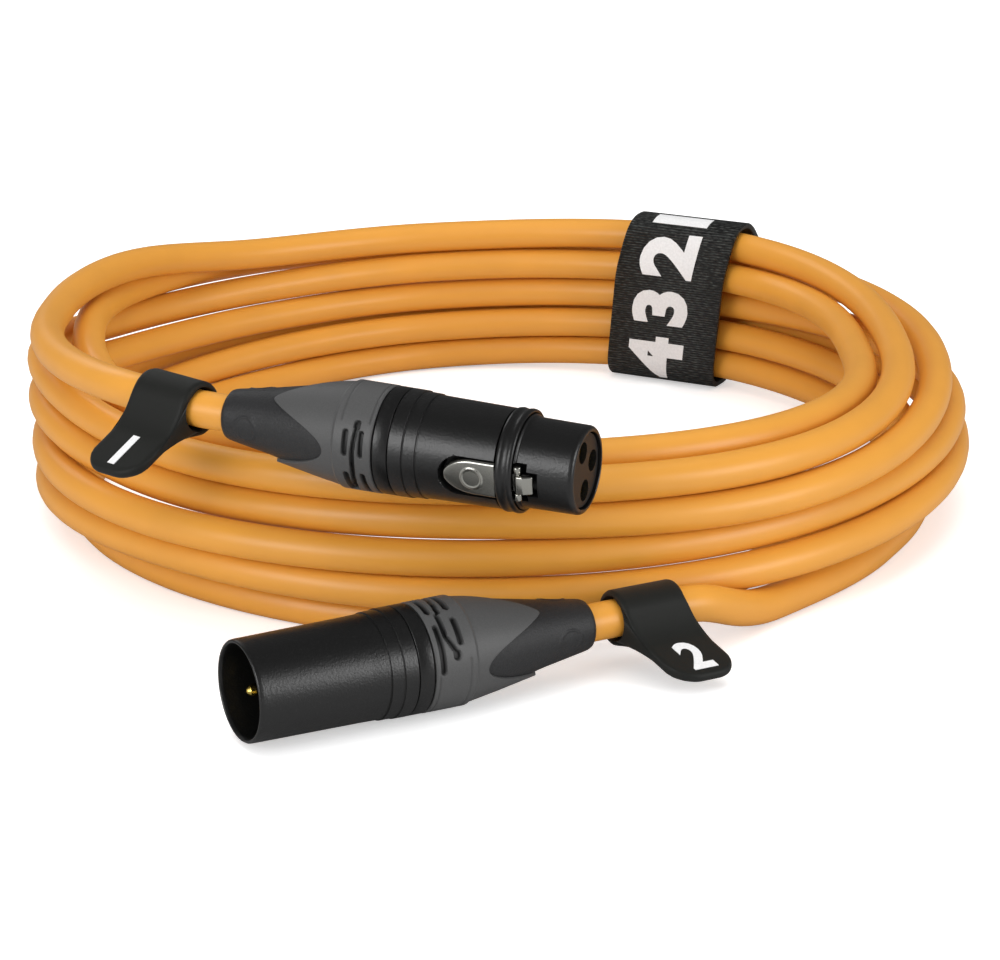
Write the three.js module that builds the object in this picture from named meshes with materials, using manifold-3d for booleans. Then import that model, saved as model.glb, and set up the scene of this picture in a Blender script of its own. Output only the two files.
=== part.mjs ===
// A three-pin (XLR) microphone cable, coiled and strapped, lying on a table.
// Millimetres, +Z up. The table is z = 0, +Y points away from someone who looks at
// the two connectors, and the coil lies behind the male connector.
import * as THREE from 'three';
import { mergeVertices, toCreasedNormals } from 'three/addons/utils/BufferGeometryUtils.js';
import Module from 'manifold-3d';

const wasm = await Module();
wasm.setup();
const { PI, cos, sin, max, min } = Math;
const DEG = PI / 180;

// ---------------------------------------------------------------- driving dimensions
const CABLE_D = 6.8;              // jacket of the cable
const SEAT_GAP = 0.3;             // left between pieces that rest on each other

// The coil. Each row is the bundle cut at one place round the ring: the azimuth in
// degrees, then [distance from the ring's centre, height] of every turn, from the turn
// that leaves the male connector to the one that reaches the female connector.
const COIL_CENTRE = new THREE.Vector3(5.2, 27.4, 0); // from the middle of all the other pieces
const BUNDLE = [
  [-61, [97.7, 3.4], [87.2, 3.8], [102, 11.3], [98.9, 17.9], [101.8, 24.8], [93.1, 34.8], [100.3, 31.9]],
  [0, [91.7, 3.4], [90.2, 11.3], [99.6, 14.5], [98.5, 21.9], [95, 30.1], [78.1, 31], [85.8, 34]],
  [60, [95.1, 5.6], [94.8, 12.9], [102.2, 15.8], [95.8, 20.8], [102.2, 30.1], [93.8, 27.9], [95.6, 35.6]],
  [100, [95.2, 3.5], [94.4, 10.8], [102.1, 14.1], [96.1, 18.5], [102.7, 30.3], [95, 26.1], [95.7, 33.6]],
  [128, [88.4, 3.5], [90.5, 10.4], [99.1, 13.9], [93, 18.4], [102.2, 30.8], [95.1, 25.3], [95, 34.2]],
  [155, [87.6, 3.4], [93.6, 8.5], [100.2, 13.3], [95.9, 19.2], [98, 32.6], [100.8, 25.4], [95.5, 39.6]],
  [180, [91.1, 3.4], [97.9, 7.4], [99, 15.1], [99.4, 23.9], [90.7, 32.8], [100, 31.3], [96.9, 40.3]],
  [233, [96, 3.4], [100.6, 10.5], [103.2, 17.4], [97.3, 22.7], [89.2, 31.6], [97.4, 29.9]],
  [270, [96.3, 3.4], [101.2, 10.1], [100.5, 17.4], [99.6, 24.7], [93.7, 34.9], [100.9, 32]],
];
const COIL_START = -30;           // azimuth where the male lead has come to the ring
const COIL_END = 6 * 360 + 180;   // six turns on and half way round, at the female lead
const COIL_STEP = 15;             // 24 steps a turn
const COIL_SIDES = 6;

// Both connectors. Their own x axis runs from the cable to the mating face, and x = 0
// is where the shell ends and the bushing begins.
const REAR_LENGTH = 35;           // nominal, of bushing and boot, behind x = 0
const REAR_RADIUS = [             // [x, radius] of the bushing and boot, front to rear
  [-0.15, 10.25], [-8, 10.3], [-8.6, 9.9], [-15, 8.7], [-25, 6.8], [-33.6, 5.3], [-35, 4.4],
];
const JACKET_END = -4;            // where the jacket stops and the three wires go on
const TONGUES = 3;                // of hard bushing that reach back over the soft boot
const TONGUE_MIDDLE = -17.6;
const TONGUE_REACH = 7;
const PIN_CIRCLE = 3.9;
const MALE = {
  front: new THREE.Vector3(-46.1, -151.3, 10.35), // centre of the open rim
  yaw: 208.7,                     // degrees from +X to the connector's x axis
  pitch: 0,                       // degrees its front is below its rear
  roll: 35,                       // turns its key round from straight up
  length: 34,
  rear: 36.7,                     // bushing and boot as they are screwed on
  window: -41,                    // degrees to the middle of one window between tongues
  kink: 0,                        // degrees the cable turns behind the boot
  tagGap: 5.8,                    // from the boot to the tag
  droop: 22,                      // degrees that the tag's paddle hangs below level
  skew: 0.22,                     // how far the soft paddle leans along the cable
  pulls: [9.6, 14.5, 14, 13.9],
  via: { azimuth: -57.4, r: 101.6, z: 3.4, heading: 47.7 },
};
const FEMALE = {
  front: new THREE.Vector3(16, -123.2, 42.3),  // centre of the face with the three holes
  yaw: -22,
  pitch: 2.1,
  roll: 102,                      // turns its latch towards the viewer
  length: 38.8,
  rear: 33.7,
  window: 84,
  kink: -15,
  tagGap: 6,
  droop: 32,
  skew: 0.12,
  pulls: [12, 35],
};
const LEAD_STUB = 3.4;            // of straight cable behind each boot
const KINK_REACH = 3.3;
const TAG = {
  bore: 3.95, wall: 1.55, length: 13.6,
  reach: 20, thick: 2,            // of the paddle
};
const STRAP = { azimuth: 62.5, width: 28.5, thick: 1.45, slack: 1.3, lean: 0.14, upright: 12 };
const STRAP_DIRECTIONS = 48;

// ------------------------------------------------------------------------- materials
const finish = (color, roughness, metalness = 0) =>
  new THREE.MeshStandardMaterial({ color, roughness, metalness });
const FINISH = {
  jacket: finish(0xe0902f, 0.5),
  shell: finish(0x1c1d1d, 0.38, 0.5),
  bushing: finish(0x4b4c4e, 0.55),
  boot: finish(0x2c2d2e, 0.8),
  insert: finish(0x161616, 0.6),
  nickel: finish(0xc9c9c2, 0.25, 1),
  gold: finish(0xd8b45a, 0.25, 1),
  chuck: finish(0xd9d9d4, 0.6),
  rubber: finish(0x262824, 0.7),
  webbing: finish(0x1b1c1c, 0.9),
  wireHot: finish(0xb33a2c, 0.5),
  wireCold: finish(0x3c6fb0, 0.5),
  wireShield: finish(0xb87a4a, 0.4, 0.8),
};

// --------------------------------------------------------------------------- helpers
/** A closed mesh as a manifold solid, turned inside out first if its faces point in. */
function solid(geometry) {
  const bare = geometry.clone();
  for (const name of Object.keys(bare.attributes)) {
    if (name !== 'position') bare.deleteAttribute(name);
  }
  const merged = mergeVertices(bare, 1e-4);
  const p = merged.attributes.position.array;
  const t = Uint32Array.from(merged.index.array);
  let volume = 0;
  for (let i = 0; i < t.length; i += 3) {
    const [a, b, c] = [t[i] * 3, t[i + 1] * 3, t[i + 2] * 3];
    volume += p[a] * (p[b + 1] * p[c + 2] - p[b + 2] * p[c + 1])
      + p[a + 1] * (p[b + 2] * p[c] - p[b] * p[c + 2])
      + p[a + 2] * (p[b] * p[c + 1] - p[b + 1] * p[c]);
  }
  if (volume < 0) {
    for (let i = 0; i < t.length; i += 3) [t[i], t[i + 1]] = [t[i + 1], t[i]];
  }
  const mesh = new wasm.Mesh({ numProp: 3, vertProperties: Float32Array.from(p), triVerts: t });
  return new wasm.Manifold(mesh);
}

/** A manifold solid as a mesh geometry. */
function geometryOf(body) {
  const mesh = body.getMesh();
  const geometry = new THREE.BufferGeometry();
  geometry.setAttribute('position', new THREE.BufferAttribute(mesh.vertProperties, 3));
  geometry.setIndex(new THREE.BufferAttribute(mesh.triVerts, 1));
  return geometry;
}

const joined = (bodies) => bodies.reduce((all, body) => all.add(body));
const cutBy = (body, cutters) => cutters.reduce((left, cutter) => left.subtract(cutter), body);

/** A profile of [x, radius] points revolved about the x axis. */
function revolved(profile, segments = 40) {
  const points = profile.map(([x, radius]) => new THREE.Vector2(radius, x));
  return solid(new THREE.LatheGeometry(points, segments).rotateZ(-PI / 2));
}

/** A tube about the x axis: its outer [x, radius] points, then its bore's, closed. */
const sleeve = (outer, bore, segments) => revolved([...outer, ...bore, outer[0]], segments);

const rod = (x0, x1, radius, segments = 20) =>
  revolved([[x0, 0], [x0, radius], [x1, radius], [x1, 0]], segments);

const box = (x0, x1, y0, y1, z0, z1) => solid(
  new THREE.BoxGeometry(x1 - x0, y1 - y0, z1 - z0)
    .translate((x0 + x1) / 2, (y0 + y1) / 2, (z0 + z1) / 2));

/** Moves a body off the connector's axis. */
const aside = (body, y, z) => body.translate([0, y, z]);

const named = (name, geometry, material) => {
  const shaded = toCreasedNormals(geometry, 0.5);
  const mesh = new THREE.Mesh(shaded, material);
  mesh.name = name;
  return mesh;
};
const piece = (name, body, material) => named(name, geometryOf(body), material);

// ------------------------------------------------------------------------ the coil
/** Hermite curve through knots [at, value] with slopes from the neighbouring knots. */
function smoothThrough(at, value) {
  const last = at.length - 1;
  const slope = value.map((v, i) => {
    if (i === 0) return (value[1] - v) / (at[1] - at[0]);
    if (i === last) return (v - value[last - 1]) / (at[last] - at[last - 1]);
    const before = at[i] - at[i - 1];
    const after = at[i + 1] - at[i];
    return (before ** 2 * (value[i + 1] - v) + after ** 2 * (v - value[i - 1]))
      / (before * after * (before + after));
  });
  return (x) => {
    let i = 0;
    while (i < last - 1 && x > at[i + 1]) i += 1;
    const h = at[i + 1] - at[i];
    const t = (x - at[i]) / h;
    return (2 * t ** 3 - 3 * t ** 2 + 1) * value[i] + (t ** 3 - 2 * t ** 2 + t) * h * slope[i]
      + (3 * t ** 2 - 2 * t ** 3) * value[i + 1] + (t ** 3 - t ** 2) * h * slope[i + 1];
  };
}

const knots = BUNDLE
  .flatMap(([azimuth, ...turns]) => turns.map(([r, z], turn) => ({ at: azimuth + 360 * turn, r, z })))
  .sort((a, b) => a.at - b.at);
const radiusAt = smoothThrough(knots.map((k) => k.at), knots.map((k) => k.r));
const heightAt = smoothThrough(knots.map((k) => k.at), knots.map((k) => k.z));

/** The cable's centre at an azimuth that keeps counting up, turn after turn. */
const coilPoint = (azimuth) => new THREE.Vector3(
  radiusAt(azimuth) * cos(azimuth * DEG),
  radiusAt(azimuth) * sin(azimuth * DEG),
  max(heightAt(azimuth), CABLE_D / 2)).add(COIL_CENTRE);

const coilDirection = (azimuth) =>
  coilPoint(azimuth + 0.5).sub(coilPoint(azimuth - 0.5)).normalize();

/** The coil's centre points: a short straight at each end, and 24 steps a turn between. */
function coilRoute() {
  const start = coilPoint(COIL_START);
  const end = coilPoint(COIL_END);
  const route = [start, start.clone().addScaledVector(coilDirection(COIL_START), CABLE_D)];
  for (let a = COIL_START + COIL_STEP; a <= COIL_END - COIL_STEP + 0.01; a += COIL_STEP) {
    route.push(coilPoint(a));
  }
  route.push(end.clone().addScaledVector(coilDirection(COIL_END), -CABLE_D), end);
  return route;
}

/** The coil as one unbroken tube of six sides, a corner of each ring pointing down. */
function coilGeometry(route) {
  const positions = [];
  const index = [];
  const up = new THREE.Vector3(0, 0, 1);
  const last = route.length - 1;
  route.forEach((point, i) => {
    let along = route[min(i + 1, last)].clone().sub(route[max(i - 1, 0)]);
    if (i === 1) along = point.clone().sub(route[0]);
    if (i === last - 1) along = route[last].clone().sub(point);
    along.normalize();
    const side = along.clone().cross(up).normalize();
    const rise = side.clone().cross(along);
    for (let k = 0; k < COIL_SIDES; k += 1) {
      const angle = -PI / 2 + 2 * PI * k / COIL_SIDES;
      const corner = point.clone()
        .addScaledVector(side, CABLE_D / 2 * cos(angle))
        .addScaledVector(rise, CABLE_D / 2 * sin(angle));
      positions.push(corner.x, corner.y, max(corner.z, 0));
    }
  });
  const at = (ring, k) => ring * COIL_SIDES + k % COIL_SIDES;
  for (let ring = 0; ring < last; ring += 1) {
    for (let k = 0; k < COIL_SIDES; k += 1) {
      index.push(at(ring, k), at(ring + 1, k), at(ring, k + 1));
      index.push(at(ring, k + 1), at(ring + 1, k), at(ring + 1, k + 1));
    }
  }
  for (let k = 1; k < COIL_SIDES - 1; k += 1) {
    index.push(at(0, 0), at(0, k), at(0, k + 1));
    index.push(at(last, 0), at(last, k + 1), at(last, k));
  }
  const geometry = new THREE.BufferGeometry();
  geometry.setAttribute('position', new THREE.Float32BufferAttribute(positions, 3));
  geometry.setIndex(index);
  return geometry;
}

/** Least gap between turns, over points half a turn or more apart along the cable. */
function leastGap(route) {
  const apart = 180 / COIL_STEP;
  let least = Infinity;
  for (let i = 0; i < route.length; i += 1) {
    for (let j = i + apart; j < route.length; j += 1) {
      least = min(least, route[i].distanceTo(route[j]) - CABLE_D);
    }
  }
  return least;
}

// ----------------------------------------------------------------------- connectors
/** Everything in front of a wavy line round the x axis: what the hard bushing keeps. */
function inFrontOfTongues(offset, window) {
  const steps = 36;
  const rings = [[5, 1], [5, 14], [null, 14], [null, 1]]; // null: on the wavy line
  const positions = [];
  const index = [];
  for (let i = 0; i < steps; i += 1) {
    const angle = 2 * PI * i / steps;
    const wave = Math.asin(0.96 * cos(TONGUES * (angle - window * DEG))) / (PI / 2);
    const line = TONGUE_MIDDLE + TONGUE_REACH * wave + offset;
    for (const [x, radius] of rings) {
      positions.push(x ?? line, radius * cos(angle), radius * sin(angle));
    }
  }
  const at = (i, k) => (i % steps) * rings.length + k % rings.length;
  for (let i = 0; i < steps; i += 1) {
    for (let k = 0; k < rings.length; k += 1) {
      index.push(at(i, k), at(i + 1, k), at(i, k + 1));
      index.push(at(i + 1, k), at(i + 1, k + 1), at(i, k + 1));
    }
  }
  const geometry = new THREE.BufferGeometry();
  geometry.setAttribute('position', new THREE.Float32BufferAttribute(positions, 3));
  geometry.setIndex(index);
  return solid(geometry);
}

/** A slot that runs part of the way round the bushing's band, with round ends. */
function bandSlot(x, width, depth, from, span) {
  const outer = REAR_RADIUS[1][1] + 1;
  const inner = REAR_RADIUS[1][1] - depth;
  const shape = new THREE.Shape();
  shape.absarc(0, 0, outer, from * DEG, (from + span) * DEG, false);
  shape.absarc(0, 0, inner, (from + span) * DEG, from * DEG, true);
  const arc = new THREE.ExtrudeGeometry(shape, { depth: width, bevelEnabled: false, curveSegments: 5 });
  arc.rotateY(PI / 2).translate(x - width / 2, 0, 0);
  const end = (angle) => solid(new THREE.CylinderGeometry(width / 2, width / 2, outer - inner, 8)
    .translate(0, (outer + inner) / 2, 0).translate(x, 0, 0)
    .rotateX(angle));
  // the arc was drawn in x, y and turned so that its angle 0 points down
  return joined([solid(arc), end((from - 180) * DEG), end((from + span - 180) * DEG)]);
}

/** The bushing's hard part, its soft boot, the coding ring and the cable chuck. */
function rearPieces(prefix, { rear, window }) {
  const stretch = [rear / REAR_LENGTH, 1, 1];
  const outline = [...REAR_RADIUS];
  const bore = [[-REAR_LENGTH, 3.8], [-23, 3.8], [-15, 7.3], [-6.6, 7.4], [-6.5, 9.1], [-0.15, 9.1]];
  const whole = sleeve(outline, bore, 40);
  const rows = [[-2.1, 8, 50], [-5.2, 38, 46]]; // [x, first angle, how far round]
  const slots = rows.flatMap(([x, from, span]) => [0, 1, 2, 3]
    .map((i) => bandSlot(x, 0.8, 0.75, from + i * 90, span)));
  const hard = cutBy(whole.intersect(inFrontOfTongues(0.15, window)), slots).scale(stretch);
  const soft = whole.subtract(inFrontOfTongues(-0.15, window)).scale(stretch);
  const ring = sleeve([[3.05, 10.15], [0.15, 10.2]], [[0.15, 9.1], [3.05, 9.1]], 40);
  const slits = [0, 1].map((i) => box(-21, -6, -9, 9, -0.5, 0.5).rotate([90 * i, 0, 0]));
  const collet = sleeve([[0.5, 7.1], [-13.5, 6.9], [-20.3, 4.2]], [[-20.3, 3.75], [0.5, 3.75]], 32);
  const jacket = rod(-rear, JACKET_END, CABLE_D / 2, 24);
  return [
    piece(`${prefix}_bushing`, hard, FINISH.bushing),
    piece(`${prefix}_boot_grip`, soft, FINISH.boot),
    piece(`${prefix}_coding_ring`, ring, FINISH.shell),
    piece(`${prefix}_chuck`, cutBy(collet, slits), FINISH.chuck),
    piece(`${prefix}_cable_end`, jacket, FINISH.jacket),
  ];
}

/** Where the three contacts sit, seen along the x axis with the key or latch up. */
const CONTACTS = [[PIN_CIRCLE, 0.6], [-PIN_CIRCLE, 0.6], [0, -PIN_CIRCLE]];
const WIRES = [['shield', FINISH.wireShield], ['hot', FINISH.wireHot], ['cold', FINISH.wireCold]];

/** The cable's three wires, from the end of its jacket to the solder cups. */
function wires(prefix, cupX) {
  return CONTACTS.map(([y, z], i) => {
    const [name, material] = WIRES[i];
    const near = 1.9 / PIN_CIRCLE;
    const path = new THREE.CatmullRomCurve3([
      new THREE.Vector3(JACKET_END + SEAT_GAP, y * near, z * near),
      new THREE.Vector3((JACKET_END + cupX) / 2, y * 0.65, z * 0.65),
      new THREE.Vector3(cupX - SEAT_GAP, y, z),
    ]);
    const section = new THREE.Shape(new THREE.Path().absarc(0, 0, 0.65, 0, 2 * PI).getPoints(7));
    const wire = new THREE.ExtrudeGeometry(section, { steps: 5, extrudePath: path, curveSegments: 2 });
    return piece(`${prefix}_wire_${name}`, solid(wire), material);
  });
}

/** A spigot behind the shell that the bushing screws on to, and the rings in front of it. */
const SPIGOT = [[-6, 8.8], [3.2, 8.8]];

function maleShell() {
  const { length } = MALE;
  const outer = [...SPIGOT, [3.2, 10.2], [6.1, 10.1], [6.3, 9.95], [8.7, 9.9], [8.9, 9.7],
    [length - 0.5, 9.4], [length, 9.15]];
  const bore = [[length, 8.7], [length - 0.5, 8.5], [5.5, 8.5], [5.5, 7.45], [-6, 7.45]];
  const tube = sleeve(outer, bore, 44);
  const key = box(length - 15, length - 3.5, -1.2, 1.2, 7.2, 8.9);
  const latchNotch = box(length - 6, length - 2.7, -2.4, 2.4, -9.2, -7.9);
  return cutBy(tube.add(key), [latchNotch]);
}

function maleConnector() {
  const face = MALE.length - 15.5;
  const insert = cutBy(
    revolved([[5.8, 0], [5.8, 8.1], [face - 0.6, 8.1], [face, 7.7], [face, 0]], 40),
    [...CONTACTS.map(([y, z]) => aside(rod(4.5, face + 1, 1.55), y, z)),
      box(face - 4, face + 1, -1.5, 1.5, 6.9, 9)]);
  const end = MALE.length - 3;
  const tip = [[end - 1.5, 1.2], [end - 0.6, 0.95], [end - 0.1, 0.5], [end, 0]];
  const pin = revolved([[7, 0], [3.3, 1], [3.1, 1.2], ...tip], 16);
  return [
    piece('male_shell', maleShell(), FINISH.shell),
    piece('male_insert', insert, FINISH.insert),
    ...CONTACTS.map(([y, z], i) => piece(`male_pin_${i + 1}`, aside(pin, y, z), FINISH.gold)),
    ...wires('male', 3.1),
    ...rearPieces('male', MALE),
  ];
}

const LATCH = { rear: 16.8, padEnd: 23.8, toothEnd: 31.2, halfWidth: 3.3, tooth: 1.8 };
const BAND = [24.2, 27.4];        // of the ring that passes over the latch

function femaleShell() {
  const { length } = FEMALE;
  const outer = [...SPIGOT, [3.2, 10.2], [6.1, 10.1], [6.3, 9.9], [8.7, 9.85], [8.9, 9.65],
    [23.9, 9.4], [24, 8.9], [27.6, 8.9], [28, 8.4], [length - 0.7, 8.3], [length, 7.8]];
  const bore = [[length, 7.2], [20, 7.2], [18, 7.45], [-6, 7.45]];
  const pocket = joined([
    box(LATCH.rear + 0.3, 29.6, -3.9, 3.9, 6, 11),
    solid(new THREE.CylinderGeometry(3.9, 3.9, 5, 20).rotateX(PI / 2)
      .translate(LATCH.rear + 0.3, 0, 8.5)),
    box(29, LATCH.toothEnd + 0.8, -2.3, 2.3, 5, 11),
  ]);
  const keySlot = box(28.5, length + 1, -1.2, 1.2, -8.9, -7.7);
  return cutBy(sleeve(outer, bore, 44), [pocket, keySlot]);
}

/** The latch: a rounded thumb pad, a leg under the ring, stop ears and a hooked tooth. */
function latch() {
  const { rear, padEnd, toothEnd, halfWidth, tooth } = LATCH;
  const outline = new THREE.Shape();
  outline.moveTo(padEnd, -halfWidth);
  outline.lineTo(padEnd, halfWidth);
  outline.lineTo(rear + 1, halfWidth);
  outline.absarc(rear + 0.6, 0, halfWidth, PI / 2, 3 * PI / 2, false);
  const pad = solid(new THREE.ExtrudeGeometry(outline, {
    depth: 0.5, curveSegments: 14, bevelThickness: 0.35, bevelSize: 0.35, bevelSegments: 2,
  }).translate(0, 0, 8.15));
  const button = solid(new THREE.CylinderGeometry(2.1, 2.4, 0.5, 24).rotateX(PI / 2)
    .translate(padEnd - 4.6, 0, 9.1));
  const leg = box(padEnd - 0.5, toothEnd - 2.4, -tooth, tooth, 7.5, 8.3);
  const hook = solid(new THREE.ExtrudeGeometry(new THREE.Shape([
    new THREE.Vector2(toothEnd - 3.2, 7.5), new THREE.Vector2(toothEnd, 7.5),
    new THREE.Vector2(toothEnd, 8.3), new THREE.Vector2(toothEnd - 2.2, 9.2),
    new THREE.Vector2(toothEnd - 3.2, 9.2),
  ]), { depth: 2 * tooth, bevelEnabled: false }).rotateX(PI / 2).translate(0, tooth, 0));
  const ears = box(BAND[1] + 0.3, BAND[1] + 1.6, -3.4, 3.4, 7.5, 8.6);
  return joined([pad, button, leg, ears, hook]);
}

function femaleConnector() {
  const face = FEMALE.length - 0.6;
  const insert = cutBy(
    revolved([[17, 0], [17, 6.9], [face, 6.9], [face, 0]], 40),
    [...CONTACTS.map(([y, z]) => aside(rod(16, 50, 2.05), y, z)),
      box(16, LATCH.toothEnd + 0.8, -4.5, 4.5, 5.4, 8)]);
  const contact = sleeve([[16.4, 1.2], [19, 1.25], [19, 1.7], [face - 1, 1.7]],
    [[face - 1, 1.25], [25, 1.25], [25, 0.5], [16.4, 0.5]], 16);
  const [from, to] = BAND;
  const ring = sleeve([[from, 9.35], [from + 0.6, 9.6], [to - 0.6, 9.6], [to, 9.35]],
    [[to, 9.2], [from, 9.2]], 40);
  return [
    piece('female_shell', femaleShell(), FINISH.shell),
    piece('female_latch_ring', ring, FINISH.shell),
    piece('female_latch', latch(), FINISH.nickel),
    piece('female_insert', insert, FINISH.insert),
    ...CONTACTS.map(([y, z], i) => piece(`female_contact_${i + 1}`, aside(contact, y, z), FINISH.gold)),
    ...wires('female', 16.4),
    ...rearPieces('female', FEMALE),
  ];
}

/** A connector's group: its x axis turned to the yaw and pitch, rolled, its face in place. */
function placed(pieces, { front, yaw, pitch, roll, length }) {
  const rolled = new THREE.Group();
  rolled.add(...pieces);
  rolled.rotation.x = roll * DEG;
  rolled.position.x = -length;
  const pitched = new THREE.Group();
  pitched.add(rolled);
  pitched.rotation.y = pitch * DEG;
  const turned = new THREE.Group();
  turned.add(pitched);
  turned.rotation.z = yaw * DEG;
  turned.position.copy(front).add(COIL_CENTRE);
  return turned;
}

/** The direction in which a connector's x axis points. */
const axisOf = ({ yaw, pitch }) => new THREE.Vector3(
  cos(yaw * DEG) * cos(pitch * DEG), sin(yaw * DEG) * cos(pitch * DEG), -sin(pitch * DEG));

/** A point on a connector's axis, x from its shell's rear edge. */
const onAxis = (connector, x) => connector.front.clone().add(COIL_CENTRE)
  .addScaledVector(axisOf(connector), x - connector.length);

// ---------------------------------------------------------------------------- leads
/** The direction of the cable in a connector's tag, away from the boot. */
const tagDirection = (connector) => axisOf(connector).negate()
  .applyAxisAngle(new THREE.Vector3(0, 0, 1), connector.kink * DEG);

/** The point where the cable has turned, behind the boot. */
const kinkEnd = (connector) => onAxis(connector, -connector.rear - SEAT_GAP - LEAD_STUB - KINK_REACH)
  .addScaledVector(tagDirection(connector), KINK_REACH);

/** Cable from a boot's rear face: through the tag, then on to the coil. */
function leadRoute(connector, coilAzimuth, towardsCoil) {
  const { pulls, via, tagGap } = connector;
  const start = onAxis(connector, -connector.rear - SEAT_GAP);
  const stub = onAxis(connector, -connector.rear - SEAT_GAP - LEAD_STUB);
  const corner = onAxis(connector, -connector.rear - SEAT_GAP - LEAD_STUB - KINK_REACH);
  const turned = kinkEnd(connector);
  const direction = tagDirection(connector);
  const used = SEAT_GAP + LEAD_STUB + 2 * KINK_REACH;
  const free = turned.clone().addScaledVector(direction, tagGap + TAG.length + 2 - used);
  const along = coilDirection(coilAzimuth).multiplyScalar(towardsCoil);
  const join = coilPoint(coilAzimuth).addScaledVector(along, -SEAT_GAP);
  const square = join.clone().addScaledVector(along, -CABLE_D);
  const path = new THREE.CurvePath();
  path.add(new THREE.LineCurve3(start, stub));
  path.add(new THREE.QuadraticBezierCurve3(stub, corner, turned));
  path.add(new THREE.LineCurve3(turned, free));
  const nodes = [[free, direction]];
  if (via) {
    nodes.push([
      new THREE.Vector3(via.r * cos(via.azimuth * DEG), via.r * sin(via.azimuth * DEG), via.z)
        .add(COIL_CENTRE),
      new THREE.Vector3(cos(via.heading * DEG), sin(via.heading * DEG), 0)]);
  }
  nodes.push([square, along]);
  for (let i = 1; i < nodes.length; i += 1) {
    const [from, leaving] = nodes[i - 1];
    const [to, arriving] = nodes[i];
    path.add(new THREE.CubicBezierCurve3(from,
      from.clone().addScaledVector(leaving, pulls[2 * i - 2]),
      to.clone().addScaledVector(arriving, -pulls[2 * i - 1]), to));
  }
  path.add(new THREE.LineCurve3(square, join));
  return path;
}

function lead(name, route) {
  const sides = 10;
  const section = new THREE.Shape();
  for (let i = 0; i < sides; i += 1) {
    const angle = 2 * PI * i / sides;
    const corner = [CABLE_D / 2 * cos(angle), CABLE_D / 2 * sin(angle)];
    if (i === 0) section.moveTo(...corner);
    else section.lineTo(...corner);
  }
  const steps = Math.ceil(route.getLength() / (0.9 * CABLE_D));
  const tube = new THREE.ExtrudeGeometry(section, { steps, extrudePath: route });
  return piece(name, solid(tube), FINISH.jacket);
}

// ----------------------------------------------------------------------- soft pieces
/** A rubber tag: a ring on the cable and a flat paddle with a round end. */
function tag(name, connector) {
  const { bore, wall, length, reach, thick } = TAG;
  const { droop, skew } = connector;
  const outer = bore + wall;
  const halfLength = length / 2;
  const ring = sleeve(
    [[-halfLength, outer - 0.5], [-halfLength + 0.5, outer], [halfLength - 0.5, outer], [halfLength, outer - 0.5]],
    [[halfLength, bore], [-halfLength, bore]], 32);
  const corner = 5.5;
  const outline = new THREE.Shape();
  outline.moveTo(-halfLength + 0.6, 0);
  outline.lineTo(halfLength - 0.6, 0);
  outline.lineTo(halfLength - 0.6, reach - corner);
  outline.absarc(halfLength - 0.6 - corner, reach - corner, corner, 0, PI / 2, false);
  outline.absarc(-halfLength + 0.6 + corner, reach - corner, corner, PI / 2, PI, false);
  const paddle = solid(new THREE.ExtrudeGeometry(outline, {
    depth: thick - 0.8, curveSegments: 8, bevelThickness: 0.4, bevelSize: 0.4, bevelSegments: 2,
  }).translate(0, 0, -thick / 2 + 0.4)).transform([1, 0, 0, 0, skew, 1, 0, 0, 0, 0, 1, 0, -2 * skew, 0, 0, 1]);
  const body = ring.add(paddle).subtract(rod(-length, length, bore, 32));
  const mesh = piece(name, body, FINISH.rubber);
  // the paddle points along +y; it is turned to the viewer's side and hangs down
  const direction = tagDirection(connector);
  const heading = Math.atan2(direction.y, direction.x);
  const toViewer = cos(heading) > 0 ? 180 + droop : -droop;
  mesh.rotation.x = toViewer * DEG;
  const level = new THREE.Group();
  level.add(mesh);
  level.rotation.y = -Math.asin(direction.z);
  const holder = new THREE.Group();
  holder.add(level);
  holder.rotation.z = heading;
  holder.position.copy(kinkEnd(connector)).addScaledVector(direction,
    connector.tagGap + halfLength - SEAT_GAP - LEAD_STUB - 2 * KINK_REACH);
  return holder;
}

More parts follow.
